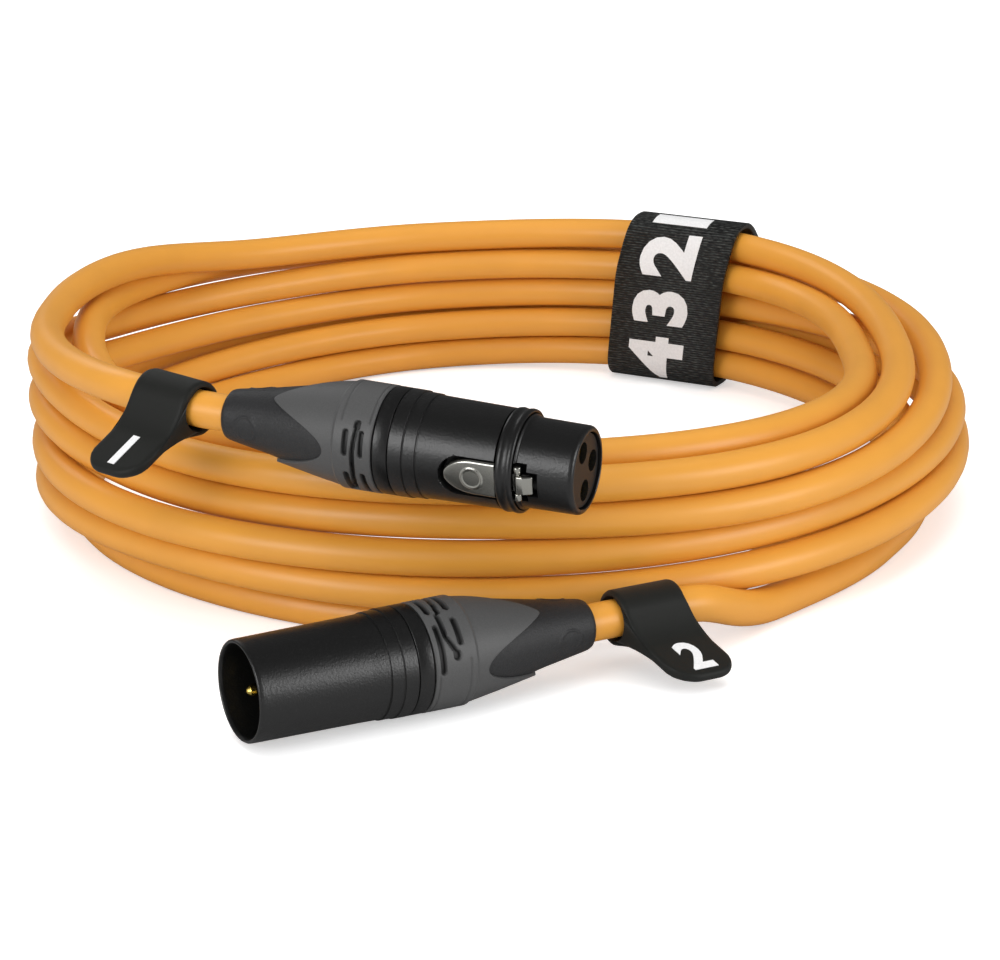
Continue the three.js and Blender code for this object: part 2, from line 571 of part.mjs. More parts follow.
/** The strap: a band drawn round the bundle, with its end lapped over the outside. */
function strap() {
  const { azimuth, width, thick, slack, lean, upright } = STRAP;
  const strands = [];
  for (let a = azimuth; a < COIL_END; a += 360) {
    for (const side of [-11.5, -8, -4, 0, 4, 8.5]) {
      strands.push([radiusAt(a + side) * cos(side * DEG), heightAt(a + side)]);
    }
  }
  const middle = radiusAt(azimuth);
  /** The bundle's outline, drawn out by a clearance, as points round the band. */
  const outline = (clearance, from = 0, span = 360) => {
    const points = [];
    for (let i = 0; i <= STRAP_DIRECTIONS * span / 360; i += 1) {
      const angle = (from + 360 * i / STRAP_DIRECTIONS) * DEG;
      const [ux, uz] = [cos(angle), sin(angle)];
      const [r, z] = strands.reduce((far, s) => (s[0] * ux + s[1] * uz > far[0] * ux + far[1] * uz ? s : far));
      const reach = CABLE_D / 2 + clearance;
      points.push(new THREE.Vector2(r - middle + ux * reach, max(z + uz * reach, slack + thick - clearance)));
    }
    return points;
  };
  const loop = (points, depth) => solid(
    new THREE.ExtrudeGeometry(new THREE.Shape(points), { depth, bevelEnabled: false }));
  const outside = outline(slack + thick).slice(0, -1);
  const inside = outline(slack).slice(0, -1);
  const band = loop(outside, width).subtract(loop(inside, width * 3).translate([0, 0, -width]));
  const lapOuter = outline(slack + 2 * thick, -30, 105);
  const lapInner = outline(slack + thick - 0.2, -30, 105).reverse();
  const lap = loop([...lapOuter, ...lapInner], width).translate([0, 0, -1.6]);
  const mesh = piece('cable_strap', band.add(lap), FINISH.webbing);
  // drawn in x (outwards) and y (up), extruded along z: stood up and turned to its place
  mesh.geometry.translate(0, 0, -width / 2).rotateX(PI / 2);
  // it leans: each height is pushed round the ring, more the higher it is
  mesh.geometry.applyMatrix4(new THREE.Matrix4().set(
    1, 0, 0, 0, 0, 1, -lean, lean * upright, 0, 0, 1, 0, 0, 0, 0, 1));
  mesh.rotation.z = azimuth * DEG;
  mesh.position.set(middle * cos(azimuth * DEG), middle * sin(azimuth * DEG), 0).add(COIL_CENTRE);
  return mesh;
}

// -------------------------------------------------------------------------- assembly
const route = coilRoute();
console.log(`least gap between the coil's turns: ${leastGap(route).toFixed(2)} mm`);

const group = new THREE.Group();
group.add(
  named('cable_coil', coilGeometry(route), FINISH.jacket),
  lead('cable_lead_male', leadRoute(MALE, COIL_START, 1)),
  lead('cable_lead_female', leadRoute(FEMALE, COIL_END, -1)),
  placed(maleConnector(), MALE),
  placed(femaleConnector(), FEMALE),
  tag('male_id_tag', MALE),
  tag('female_id_tag', FEMALE),
  strap(),
);

export default group;
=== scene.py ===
"""The looks of a coiled three-pin microphone cable, laid out as a Blender add-on.

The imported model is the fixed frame. This file dresses its pieces: the cable as one tube
from connector to connector, the strap as a woven band, and the connectors' hard pieces
with the finishes of the real ones. Everything is in metres, +Z up.
"""
import math

import bmesh
import bpy
import numpy as np
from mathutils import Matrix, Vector


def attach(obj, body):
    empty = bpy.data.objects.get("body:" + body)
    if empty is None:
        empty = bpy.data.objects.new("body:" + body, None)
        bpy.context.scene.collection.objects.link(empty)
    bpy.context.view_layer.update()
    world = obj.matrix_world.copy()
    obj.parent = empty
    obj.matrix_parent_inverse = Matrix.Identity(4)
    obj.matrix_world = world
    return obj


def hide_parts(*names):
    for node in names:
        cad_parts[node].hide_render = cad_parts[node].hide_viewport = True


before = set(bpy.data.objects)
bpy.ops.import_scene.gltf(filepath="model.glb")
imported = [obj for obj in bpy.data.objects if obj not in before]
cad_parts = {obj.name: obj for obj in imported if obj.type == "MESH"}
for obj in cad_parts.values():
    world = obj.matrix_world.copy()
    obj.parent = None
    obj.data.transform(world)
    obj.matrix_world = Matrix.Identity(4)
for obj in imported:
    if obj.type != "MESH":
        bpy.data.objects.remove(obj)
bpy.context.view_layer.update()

bl_info = {
    "name": "Coiled microphone cable",
    "version": (1, 0, 0),
    "blender": (4, 5, 0),
    "location": "3D View > Sidebar > Cable coil",
    "description": "Builds a coiled and strapped microphone cable with its two connectors",
    "category": "Add Mesh",
}

MM = 0.001
UP = np.array([0.0, 0.0, 1.0])

# ------------------------------------------------------------------ the cable's route
COIL_CENTRE = np.array([5.2, 27.4, 0.0]) * MM
# Where each turn sits in the bundle: an azimuth in degrees, then the distance from the
# ring's centre and the height of every turn, in millimetres, from the male end on.
BUNDLE = [
    (-61, (97.7, 3.4), (87.2, 3.8), (102, 11.3), (98.9, 17.9), (101.8, 24.8), (93.1, 34.8), (100.3, 31.9)),
    (0, (91.7, 3.4), (90.2, 11.3), (99.6, 14.5), (98.5, 21.9), (95, 30.1), (78.1, 31), (85.8, 34)),
    (60, (95.1, 5.6), (94.8, 12.9), (102.2, 15.8), (95.8, 20.8), (102.2, 30.1), (93.8, 27.9), (95.6, 35.6)),
    (100, (95.2, 3.5), (94.4, 10.8), (102.1, 14.1), (96.1, 18.5), (102.7, 30.3), (95, 26.1), (95.7, 33.6)),
    (128, (88.4, 3.5), (90.5, 10.4), (99.1, 13.9), (93, 18.4), (102.2, 30.8), (95.1, 25.3), (95, 34.2)),
    (155, (87.6, 3.4), (93.6, 8.5), (100.2, 13.3), (95.9, 19.2), (98, 32.6), (100.8, 25.4), (95.5, 39.6)),
    (180, (91.1, 3.4), (97.9, 7.4), (99, 15.1), (99.4, 23.9), (90.7, 32.8), (100, 31.3), (96.9, 40.3)),
    (233, (96, 3.4), (100.6, 10.5), (103.2, 17.4), (97.3, 22.7), (89.2, 31.6), (97.4, 29.9)),
    (270, (96.3, 3.4), (101.2, 10.1), (100.5, 17.4), (99.6, 24.7), (93.7, 34.9), (100.9, 32)),
]
COIL_START, COIL_END = -30.0, 6 * 360 + 180.0
SOLID_CABLE = 6.8                  # diameter of the cable's solids, which the jacket covers
REAR_LENGTH = 35.0                 # of bushing and boot at their nominal size
SEAT_GAP, LEAD_STUB, KINK_REACH = 0.3, 3.4, 3.3
TAG_LENGTH = 13.6
TAG_CLEARANCE = 2.0                # of straight cable past the tag
# Each connector: the middle of its front edge, its three angles, its shell's length, the
# length from there to its boot's end, where its windows lie round it, the bend behind the
# boot, the gap before the tag, how its tag hangs and leans, and how its lead runs on.
MALE = {
    "front": (-46.1, -151.3, 10.35), "yaw": 208.7, "pitch": 0.0, "roll": 35.0, "length": 34.0,
    "rear": 36.7, "window": -41.0, "kink": 0.0, "tag_gap": 5.8, "droop": 22.0, "skew": 0.22,
    "pulls": (9.6, 14.5, 14, 13.9), "via": (-57.4, 101.6, 3.4, 47.7),
}
FEMALE = {
    "front": (16.0, -123.2, 42.3), "yaw": -22.0, "pitch": 2.1, "roll": 102.0, "length": 38.8,
    "rear": 33.7, "window": 84.0, "kink": -15.0, "tag_gap": 6.0, "droop": 32.0, "skew": 0.12,
    "pulls": (12, 35), "via": None,
}


def linear(code):
    """The linear colour of an sRGB hex code: each channel over 12.92 below 0.04045, and
    ((channel + 0.055) / 1.055) to the power 2.4 above it."""
    channels = [int(code[i:i + 2], 16) / 255 for i in (1, 3, 5)]
    return tuple(c / 12.92 if c <= 0.04045 else ((c + 0.055) / 1.055) ** 2.4 for c in channels)


# ----------------------------------------------------------------------- user's values
class CableSettings(bpy.types.PropertyGroup):
    """The cable's sizes and colour."""

    diameter: bpy.props.FloatProperty(
        name="Cable diameter", description="Outside of the jacket",
        default=7.2 * MM, unit="LENGTH")
    spacing: bpy.props.FloatProperty(
        name="Ring spacing", description="Distance between the tube's rings",
        default=2.6 * MM, unit="LENGTH")
    sides: bpy.props.IntProperty(
        name="Sides", description="Faces round the tube", default=22, min=8)
    colour: bpy.props.FloatVectorProperty(
        name="Jacket colour", description="Colour of the PVC jacket", subtype="COLOR", size=3,
        default=linear("#E09B39"))


class StrapSettings(bpy.types.PropertyGroup):
    """The strap's sizes and colours."""

    azimuth: bpy.props.FloatProperty(
        name="Strap place", description="Degrees round the ring from +X", default=62.5)
    width: bpy.props.FloatProperty(
        name="Strap width", description="Across the webbing", default=28.5 * MM, unit="LENGTH")
    thickness: bpy.props.FloatProperty(
        name="Strap thickness", description="Of one layer of webbing", default=1.3 * MM, unit="LENGTH")
    slack: bpy.props.FloatProperty(
        name="Strap slack", description="Air between the strands and the strap",
        default=1.2 * MM, unit="LENGTH")
    lean: bpy.props.FloatProperty(
        name="Strap lean", description="How far the strap moves sideways for each unit of height",
        default=0.14)
    colour: bpy.props.FloatVectorProperty(
        name="Webbing colour", description="Colour of the yarn", subtype="COLOR", size=3,
        default=linear("#141514"))
    print_colour: bpy.props.FloatVectorProperty(
        name="Print colour", description="Colour of the printed numbers", subtype="COLOR", size=3,
        default=linear("#E6E6E6"))


class ConnectorSettings(bpy.types.PropertyGroup):
    """The colours of both connectors."""

    shell_colour: bpy.props.FloatVectorProperty(
        name="Shell colour", description="Black coat on the die-cast shells", subtype="COLOR", size=3,
        default=linear("#0C0C0C"))
    bushing_colour: bpy.props.FloatVectorProperty(
        name="Bushing colour", description="Hard plastic of the bushings", subtype="COLOR", size=3,
        default=linear("#4A4A4A"))
    boot_colour: bpy.props.FloatVectorProperty(
        name="Boot colour", description="Soft plastic of the boots", subtype="COLOR", size=3,
        default=linear("#222223"))
    tag_colour: bpy.props.FloatVectorProperty(
        name="Tag colour", description="Silicone rubber of the tags", subtype="COLOR", size=3,
        default=linear("#141512"))


class StageSettings(bpy.types.PropertyGroup):
    """The camera's place and the light."""

    elevation: bpy.props.FloatProperty(
        name="Camera elevation", description="Degrees above the table", default=18.0)
    distance: bpy.props.FloatProperty(
        name="Camera distance", description="From the middle of the ring", default=695 * MM, unit="LENGTH")
    lens: bpy.props.FloatProperty(
        name="Lens", description="Focal length on a 36 mm sensor, in millimetres", default=111.8)
    floor_colour: bpy.props.FloatVectorProperty(
        name="Floor colour", description="Colour of the table", subtype="COLOR", size=3,
        default=linear("#F4F4F4"))


# ----------------------------------------------------------------------- mesh helpers
def linked(name, data):
    """A new object with this data, in the scene."""
    made = bpy.data.objects.new(name, data)
    bpy.context.scene.collection.objects.link(made)
    return made


def unit(vectors):
    """Vectors divided by their own lengths."""
    return vectors / np.linalg.norm(vectors, axis=-1, keepdims=True)


def surface(name, grid, along_closed=False, uv=None, sharp=35.0, sleeve_and_painted_shade=None):
    """A mesh from a grid of points: rows follow one parameter, and columns run round it.
    Each face joins points (i, j), (i, j+1), (i+1, j+1) and (i+1, j), and the last column
    joins the first. With along_closed the last row joins the first, and otherwise a face
    closes each of them. All faces are turned over when the volume that they enclose, the
    sum of a . (b x c) / 6, is negative. uv gives each point its place in metres along and
    across, read at each corner, so its grid has one more row or column where the mesh
    closes on itself. The last argument is a value for each point, the share of black inner
    sleeve and painted shade in its colour, kept under its name for the material."""
    rows, columns = grid.shape[:2]
    points = grid.reshape(-1, 3)
    i = np.arange(rows if along_closed else rows - 1)[:, None]
    j = np.arange(columns)[None]
    corners = [(i, j), (i, j + 1), (i + 1, j + 1), (i + 1, j)]
    quads = [(r % rows) * columns + c % columns for r, c in corners]
    quads = np.stack(np.broadcast_arrays(*quads), -1).reshape(-1, 4)
    a, b, c, d = (points[quads[:, k]] - points[0] for k in range(4))
    turned_over = np.einsum("ij,ij->", a, np.cross(b, c) + np.cross(c, d)) < 0
    faces = quads.tolist()
    if not along_closed:
        faces += [list(range(columns))[::-1], list(range((rows - 1) * columns, rows * columns))]
    if turned_over:
        faces = [face[::-1] for face in faces]
    mesh = bpy.data.meshes.new(name)
    mesh.from_pydata(points.tolist(), [], faces)
    if uv is not None:
        read = np.stack([uv[r, c] for r, c in (np.broadcast_arrays(*corner) for corner in corners)], -2)
        read = read.reshape(-1, 4, 2)
        flat = (read[:, ::-1] if turned_over else read).reshape(-1, 2)
        filled = np.zeros((len(mesh.loops), 2))
        filled[:len(flat)] = flat
        mesh.uv_layers.new(name="UVMap").data.foreach_set("uv", filled.ravel())
    if sleeve_and_painted_shade is not None:
        values = mesh.attributes.new("sleeve_and_painted_shade", "FLOAT", "POINT").data
        values.foreach_set("value", sleeve_and_painted_shade.astype(np.float32).ravel())
    mesh.polygons.foreach_set("use_smooth", np.ones(len(mesh.polygons), dtype=bool))
    mesh.set_sharp_from_angle(angle=math.radians(sharp))
    mesh.update()
    return linked(name, mesh)


def smooth_through(at, value, x):
    """The cubic Hermite curve through knots (at, value), each slope that of the parabola
    through a knot and its neighbours, read at x."""
    slope = np.gradient(value, at)
    i = np.clip(np.searchsorted(at, x) - 1, 0, len(at) - 2)
    h = at[i + 1] - at[i]
    t = (x - at[i]) / h
    return ((2 * t**3 - 3 * t**2 + 1) * value[i] + (t**3 - 2 * t**2 + t) * h * slope[i]
            + (3 * t**2 - 2 * t**3) * value[i + 1] + (t**3 - t**2) * h * slope[i + 1])


def seats():
    """The bundle's seats as arrays of azimuth, radius and height, sorted by azimuth."""
    table = sorted((row[0] + 360.0 * turn, r, z) for row in BUNDLE for turn, (r, z) in enumerate(row[1:]))
    return np.array(table, dtype=float).T


def coil_rz(azimuth):
    """Radius and height of the cable's centre, in millimetres, at counting-up azimuths."""
    at, r, z = seats()
    return smooth_through(at, r, azimuth), np.maximum(smooth_through(at, z, azimuth), SOLID_CABLE / 2)


def coil_points(azimuth):
    """The coil's centre line: (r cos a, r sin a, z) about the ring's centre."""
    r, z = coil_rz(azimuth)
    a = np.radians(azimuth)
    return np.stack([r * np.cos(a), r * np.sin(a), z], -1) * MM + COIL_CENTRE


def bezier(controls, count):
    """A Bezier curve: the sum of each control point times its Bernstein polynomial
    C(n, k) t^k (1 - t)^(n - k), at count values of t from 0 to 1."""
    n = len(controls) - 1
    t = np.linspace(0, 1, count)[:, None]
    return sum(math.comb(n, k) * t**k * (1 - t) ** (n - k) * np.asarray(c) for k, c in enumerate(controls))


def turned(yaw, pitch, roll):
    """The rotation of a connector's own frame: roll about x, then pitch about y, then yaw
    about z."""
    cy, sy, cp, sp, cr, sr = (f(math.radians(v)) for v in (yaw, pitch, roll) for f in (math.cos, math.sin))
    about_z = np.array([[cy, -sy, 0], [sy, cy, 0], [0, 0, 1]])
    about_y = np.array([[cp, 0, sp], [0, 1, 0], [-sp, 0, cp]])
    about_x = np.array([[1, 0, 0], [0, cr, -sr], [0, sr, cr]])
    return about_z @ about_y @ about_x


def placed(connector, points):
    """Points of a connector's own frame, in millimetres from its shell's rear edge, in the
    model's frame in metres."""
    rotation = turned(connector["yaw"], connector["pitch"], connector["roll"])
    from_front = np.asarray(points, float) - [connector["length"], 0, 0]
    return (np.array(connector["front"]) + from_front @ rotation.T) * MM + COIL_CENTRE


def tag_direction(connector):
    """The direction of the cable in the tag: the connector's axis turned by the kink."""
    back = -turned(connector["yaw"], connector["pitch"], 0)[:, 0]
    c, s = math.cos(math.radians(connector["kink"])), math.sin(math.radians(connector["kink"]))
    return np.array([back[0] * c - back[1] * s, back[0] * s + back[1] * c, back[2]])


def lead_points(connector, azimuth, towards):
    """The free cable from a boot's rear face to the coil: straight, a short bend, straight
    through the tag, Bezier curves on to the coil, and straight again for one diameter."""
    on_axis = lambda x: placed(connector, [x, 0, 0])
    seat = -connector["rear"] - SEAT_GAP
    start, stub, corner = on_axis(seat), on_axis(seat - LEAD_STUB), on_axis(seat - LEAD_STUB - KINK_REACH)
    direction = tag_direction(connector)
    bent = corner + direction * KINK_REACH * MM
    used = SEAT_GAP + LEAD_STUB + 2 * KINK_REACH
    free = bent + direction * (connector["tag_gap"] + TAG_LENGTH + TAG_CLEARANCE - used) * MM
    along = unit(coil_points(azimuth + 0.5) - coil_points(azimuth - 0.5)) * towards
    square = coil_points(azimuth) - along * (SEAT_GAP + SOLID_CABLE) * MM
    stops = [(free, direction)]
    if connector["via"]:
        a, r, z, heading = connector["via"]
        a, heading = math.radians(a), math.radians(heading)
        stops.append((np.array([r * math.cos(a), r * math.sin(a), z]) * MM + COIL_CENTRE,
                      np.array([math.cos(heading), math.sin(heading), 0])))
    stops.append((square, along))
    bend = bezier([stub, corner, bent], 6)
    parts = [np.linspace(start, stub, 3), bend[1:], np.linspace(bent, free, 7)[1:]]
    for k in range(1, len(stops)):
        (here, leaving), (there, arriving) = stops[k - 1], stops[k]
        pull = np.array(connector["pulls"][2 * k - 2:2 * k]) * MM
        parts.append(bezier([here, here + leaving * pull[0], there - arriving * pull[1], there], 24)[1:])
    parts.append(np.linspace(square, coil_points(azimuth), 4)[1:-1])
    return np.concatenate(parts)


def resampled(points, spacing):
    """Points set evenly along a line: each coordinate read at equal steps of length."""
    travelled = np.concatenate([[0], np.cumsum(np.linalg.norm(np.diff(points, axis=0), axis=1))])
    at = np.linspace(0, travelled[-1], int(travelled[-1] / spacing) + 1)
    return np.stack([np.interp(at, travelled, points[:, k]) for k in range(3)], -1), travelled[-1]


def cable_route(spacing):
    """The whole cable from the male boot, round the coil, to the female boot."""
    coil = coil_points(np.arange(COIL_START, COIL_END + 0.1, 2.5))
    whole = np.concatenate([
        lead_points(MALE, COIL_START, 1), coil, lead_points(FEMALE, COIL_END, -1)[::-1]])
    return resampled(whole, spacing)


# ------------------------------------------------------------------- connector shapes
def step(distance, soft):
    """A smooth step from 1, well inside, to 0, well outside: 3 k^2 - 2 k^3, where k runs
    from 1 to 0 as the signed distance runs from -soft to soft."""
    k = np.clip(0.5 - distance / (2 * soft), 0, 1)
    return k * k * (3 - 2 * k)


def capsule(x, across, start, end, width, soft=0.12):
    """How far a groove with round ends cuts at (x, across), from 0 to 1: the distance to
    the segment from start to end, less half the width, through the smooth step."""
    point = np.stack(np.broadcast_arrays(x, across), -1)
    start, line = np.array(start, float), np.array(end, float) - np.array(start, float)
    t = np.clip((point - start) @ line / max(line @ line, 1e-9), 0, 1)
    return step(np.linalg.norm(point - start - t[..., None] * line, axis=-1) - width / 2, soft)


def densified(profile, spacing, guard=0.07):
    """A polyline of [x, radius] with points added: one close to each end of every edge
    longer than five guards, which keeps smooth shading crisp at the corners, and then as
    many as leave none further apart than spacing, at even fractions of each edge."""
    profile = np.asarray(profile, float)
    first, edges = profile[:-1], np.diff(profile, axis=0)
    near = guard / np.maximum(np.linalg.norm(edges, axis=1, keepdims=True), 1e-9)
    near = np.where(near < 0.2, near, 0)
    rows = np.stack([first, first + edges * near, first + edges * (1 - near)], 1).reshape(-1, 2)
    rows = np.concatenate([rows, profile[-1:]])
    profile = rows[np.append(np.linalg.norm(np.diff(rows, axis=0), axis=1) > 1e-6, True)]
    counts = np.maximum(1, np.ceil(np.linalg.norm(np.diff(profile, axis=0), axis=1) / spacing)).astype(int)
    edge = np.repeat(np.arange(len(counts)), counts)
    first = np.concatenate([[0], np.cumsum(counts)[:-1]])
    at = np.append(edge + (np.arange(len(edge)) - first[edge]) / counts[edge], len(counts))
    return np.stack([np.interp(at, np.arange(len(profile)), profile[:, k]) for k in (0, 1)], -1)


def lathed(x, radius, angle):
    """Points (x, r cos a, r sin a) from arrays of x and radius by row and angle by column."""
    return np.stack(np.broadcast_arrays(x, radius * np.cos(angle), radius * np.sin(angle)), -1)


def turns(columns):
    """Evenly spaced angles of a full turn, as one row."""
    return np.linspace(0, 2 * np.pi, columns, endpoint=False)[None]


def wrapped(angle, middle):
    """Angles from a middle, in radians, brought between minus and plus half a turn."""
    return (angle - math.radians(middle) + np.pi) % (2 * np.pi) - np.pi


def male_shell_grid():
    """The male shell's profile, out along the outside and back along the bore, turned
    about the axis. The bore's radius drops to 7.3 mm over the key, 8.5 degrees each side
    of straight up."""
    profile = densified([
        (-6, 7.45), (-6, 8.8), (3.2, 8.8), (3.2, 10.02), (3.32, 10.16), (5.85, 10.12), (5.95, 9.92),
        (6.1, 9.9), (6.2, 9.97), (8.45, 9.93), (8.55, 9.7), (8.7, 9.69), (8.8, 9.75), (12, 9.66),
        (33.2, 9.42), (33.7, 9.36), (33.95, 9.2), (34, 9.05), (34, 8.9), (33.85, 8.72), (33.4, 8.58),
        (30.6, 8.5), (30.5, 8.5), (19.1, 8.5), (19, 8.5), (5.5, 8.5), (5.5, 7.45)], 2.0)
    x, radius = profile[:, :1], profile[:, 1:]
    angle = turns(192)
    inside = np.arange(len(profile))[:, None] > int(np.argmax(profile[:, 0]))
    on_key = inside & (x > 18.95) & (x < 30.55) & (np.abs(wrapped(angle, 90)) < math.radians(8.5))
    return lathed(x, np.where(on_key & (radius > 8.2), 7.3, radius), angle)


def female_shell_grid():
    """The female shell's profile turned about the axis. Over the latch's pocket, a capsule
    for the pad and a block each for the lugs and the tooth, z is lowered to a floor at
    constant y, so the walls stand upright. The floor falls from 6.8 to 5.95 mm towards the
    nose, and the bore dips 0.35 mm below it and 0.45 mm past its sides, which leaves a
    wall. The key slot opposite is cut to a radius of 7.75."""
    rear = densified([
        (-6, 7.45), (-6, 8.8), (3.2, 8.8), (3.2, 10.02), (3.32, 10.16), (5.85, 10.12), (5.95, 9.9),
        (6.1, 9.87), (6.2, 9.93), (8.45, 9.88), (8.55, 9.64), (8.7, 9.62), (8.8, 9.68), (12.4, 9.6)], 1.5)
    middle = densified([
        (12.4, 9.6), (23.85, 9.4), (23.95, 9.25), (24.0, 8.9), (27.65, 8.9), (27.8, 8.6), (28, 8.44),
        (33, 8.36)], 0.22)
    nose = densified([
        (33, 8.36), (37.9, 8.3), (38.3, 8.22), (38.55, 8.05), (38.72, 7.8), (38.8, 7.5), (38.8, 7.3),
        (38.7, 7.2), (33.2, 7.2)], 1.2)
    bore = np.concatenate([densified([(33.2, 7.2), (12.4, 7.2)], 0.3), [(12.0, 7.45), (-6, 7.45)]])
    profile = np.concatenate([rear[:-1], middle[:-1], nose[:-1], bore])
    x, radius = profile[:, :1], profile[:, 1:]
    angle = turns(272)
    outside = np.arange(len(profile))[:, None] <= int(np.argmax(profile[:, 0]))
    across = radius * np.cos(angle)
    slot = step(np.abs(across) - 1.2, 0.1) * outside * (x > 28.6) * (np.sin(angle) < 0)
    grid = lathed(x, radius + slot * np.minimum(7.75 - radius, 0), angle)
    wider = np.where(outside, 0.0, 0.45)
    pad_cut = capsule(x, across, (17.1, 0), (25.7, 0), 7.8 + 2 * wider, 0.1)
    lug_cut = step(np.maximum(np.abs(x - 28.6) - 1.2, np.abs(across) - 3.75) - wider, 0.1)
    tooth_cut = step(np.maximum(np.abs(x - 30.0) - 2.0, np.abs(across) - 2.3) - wider, 0.1)
    cut = np.maximum(np.maximum(pad_cut, lug_cut), tooth_cut) * (np.sin(angle) > 0.4)
    floor = np.interp(x, [22, 28], [6.8, 5.95]) - np.where(outside, 0, 0.35)
    grid[..., 2] += cut * np.minimum(floor - grid[..., 2], 0)
    return grid


def hard_radius(x):
    """Outside of the bushing at a nominal x: a band, a chamfer and a cone."""
    return np.interp(x, [-24.5, -15.0, -8.5, -8.0, -0.5, -0.3, -0.15],
                     [7.3, 8.95, 9.95, 10.28, 10.25, 10.2, 10.05])


def soft_radius(x):
    """Outside of the boot at a nominal x: a cone with a slight belly and a rounded end."""
    return np.interp(x, [-35, -34.9, -34.6, -34.1, -33.4, -25, -15, -12, -9.2],
                     [3.95, 4.3, 4.68, 4.9, 5.05, 6.45, 8.42, 8.86, 9.2])


def tongue_line(angle, window):
    """Nominal x of the tongues' edge, with three windows that open forwards. With c the
    cosine of 3(a - window) it is -16.8 + 6.3 asin(k c) / asin(k), a rounded triangle wave
    whose k = 0.68 - 0.27 c makes the windows' ends round and the tongues' tips pointed."""
    c = np.cos(3 * (angle - math.radians(window)))
    k = 0.68 - 0.27 * c
    return -16.8 + 6.3 * np.arcsin(k * c) / np.arcsin(k)


def bushing_grid(connector, slots):
    """The bushing: rows run out over its front face, back along the band, down the cone to
    the tongues' wavy edge, over the edge and forwards again inside. Each groove lowers the
    band by its depth where its capsule says, and marks it by depth / 0.8 for a darker
    colour: the black inner sleeve in the deep slots, and painted shade in the fine grooves."""
    angle = turns(336)
    line = tongue_line(angle, connector["window"])
    band = densified([(-0.15, 9.2), (-0.15, 10.05), (-0.3, 10.2), (-0.5, 10.25), (-8.0, 10.28),
                      (-8.5, 9.95)], 0.19)
    x, radius = band[:, :1] + 0 * angle, band[:, 1:] + 0 * angle
    sleeve_and_painted_shade = 0 * radius
    on_band = (x < -0.4) & (x > -7.9)
    for (width, depth), grooves in slots.items():
        for first_x, first_angle, last_x, last_angle in grooves:
            arc = BAND_RADIUS * wrapped(angle, connector["window"] + (first_angle + last_angle) / 2)
            half = BAND_RADIUS * math.radians(last_angle - first_angle) / 2
            cut = on_band * capsule(x, arc, (first_x, -half), (last_x, half), width, 0.11)
            radius = np.minimum(radius, band[:, 1:] - depth * cut)
            # Painted shade: each groove darkens the colour by its depth, to the black inner sleeve in the
            # deep slots.
            sleeve_and_painted_shade = np.maximum(sleeve_and_painted_shade, cut * depth / DEEP)
    t = np.linspace(0, 1, 44)[1:, None]
    over = -8.5 + t * (line + 8.5)
    edge_x = np.concatenate([line - 0.1, line - 0.16, line - 0.16])
    edge_r = np.concatenate([hard_radius(line) - 0.05, hard_radius(line) - 0.18, soft_radius(line) + 0.02])
    back = line + np.linspace(0, 1, 8)[1:, None] * (-9.2 - line)
    inner = np.array([(-9.1, 8.7), (-6.6, 8.8), (-6.5, 9.2), (-1, 9.2)])
    x = np.concatenate([x, over, edge_x, back, inner[:, :1] + 0 * angle])
    radius = np.concatenate([
        radius, hard_radius(over), edge_r, soft_radius(back) + 0.02, inner[:, 1:] + 0 * angle])
    sleeve_and_painted_shade = np.concatenate([sleeve_and_painted_shade, np.zeros((len(x) - len(sleeve_and_painted_shade), sleeve_and_painted_shade.shape[1]))])
    return lathed(x * connector["rear"] / REAR_LENGTH, radius, angle), sleeve_and_painted_shade


def boot_grid(connector):
    """The soft boot: its cone, its rounded rear and its bore, turned about the axis. A
    plain raised circle 0.16 mm high stands on it behind each window."""
    cone = densified([(-9.2, 9.2), (-12, 8.86), (-15, 8.42), (-25, 6.45), (-33.4, 5.05), (-34.1, 4.9),
                      (-34.6, 4.68), (-34.9, 4.3), (-35, 3.95)], 0.3)
    bore = densified([(-35, 3.8), (-23, 3.8), (-15, 7.2), (-9.2, 7.6)], 3)
    angle = turns(240)
    x = np.concatenate([cone[:, :1], bore[:, :1]]) + 0 * angle
    radius = np.concatenate([cone[:, 1:], bore[:, 1:]]) + 0 * angle
    third = np.stack([wrapped(angle, connector["window"] + 120 * k) for k in range(3)])
    nearest = np.take_along_axis(third, np.argmin(np.abs(third), axis=0)[None], axis=0)[0]
    across = 6.0 * nearest
    outline = step(np.abs(np.hypot(x + 29.0, across) - 2.4) - 0.16, 0.14)
    outline = outline * (np.arange(len(x))[:, None] < len(cone))
    return lathed(x * connector["rear"] / REAR_LENGTH, radius + 0.16 * outline, angle)


def pad_grid():
    """The latch's thumb pad: rows run forwards, and its half width follows half an ellipse
    6 mm long until it is 3.6 mm. Its top is crowned by 0.15 (1 - (y / w)^2), drops by
    0.4 (1 - d / 0.5)^2 within 0.5 mm of the edge, and carries a plain raised ring."""
    x = np.concatenate([np.linspace(13.8, 14.7, 18), np.linspace(14.8, 24, 86)])[:, None]
    half = 3.6 * np.sqrt(np.clip(1 - np.clip((19.8 - x) / 6.02, 0, 1) ** 2, 0.0004, 1))
    s = np.sin(np.linspace(-np.pi / 2, np.pi / 2, 61))[None]
    y = half * s
    edge = np.clip(np.minimum(half - np.abs(y), (x - 13.78) * 1.2) / 0.5, 0, 1)
    disc = np.hypot(x - 19.5, y)
    top = 8.95 + 0.15 * (1 - s**2) - 0.4 * (1 - edge) ** 2
    top = top + 0.16 * step(disc - 2.15, 0.1) - 0.1 * step(disc - 1.75, 0.1)
    bottom = 7.8 + 0 * y[:, 1:-1]
    return np.stack([np.broadcast_to(x, (len(x), 120)), np.concatenate([y, y[:, -2:0:-1]], 1),
                     np.concatenate([top, bottom], 1)], -1)


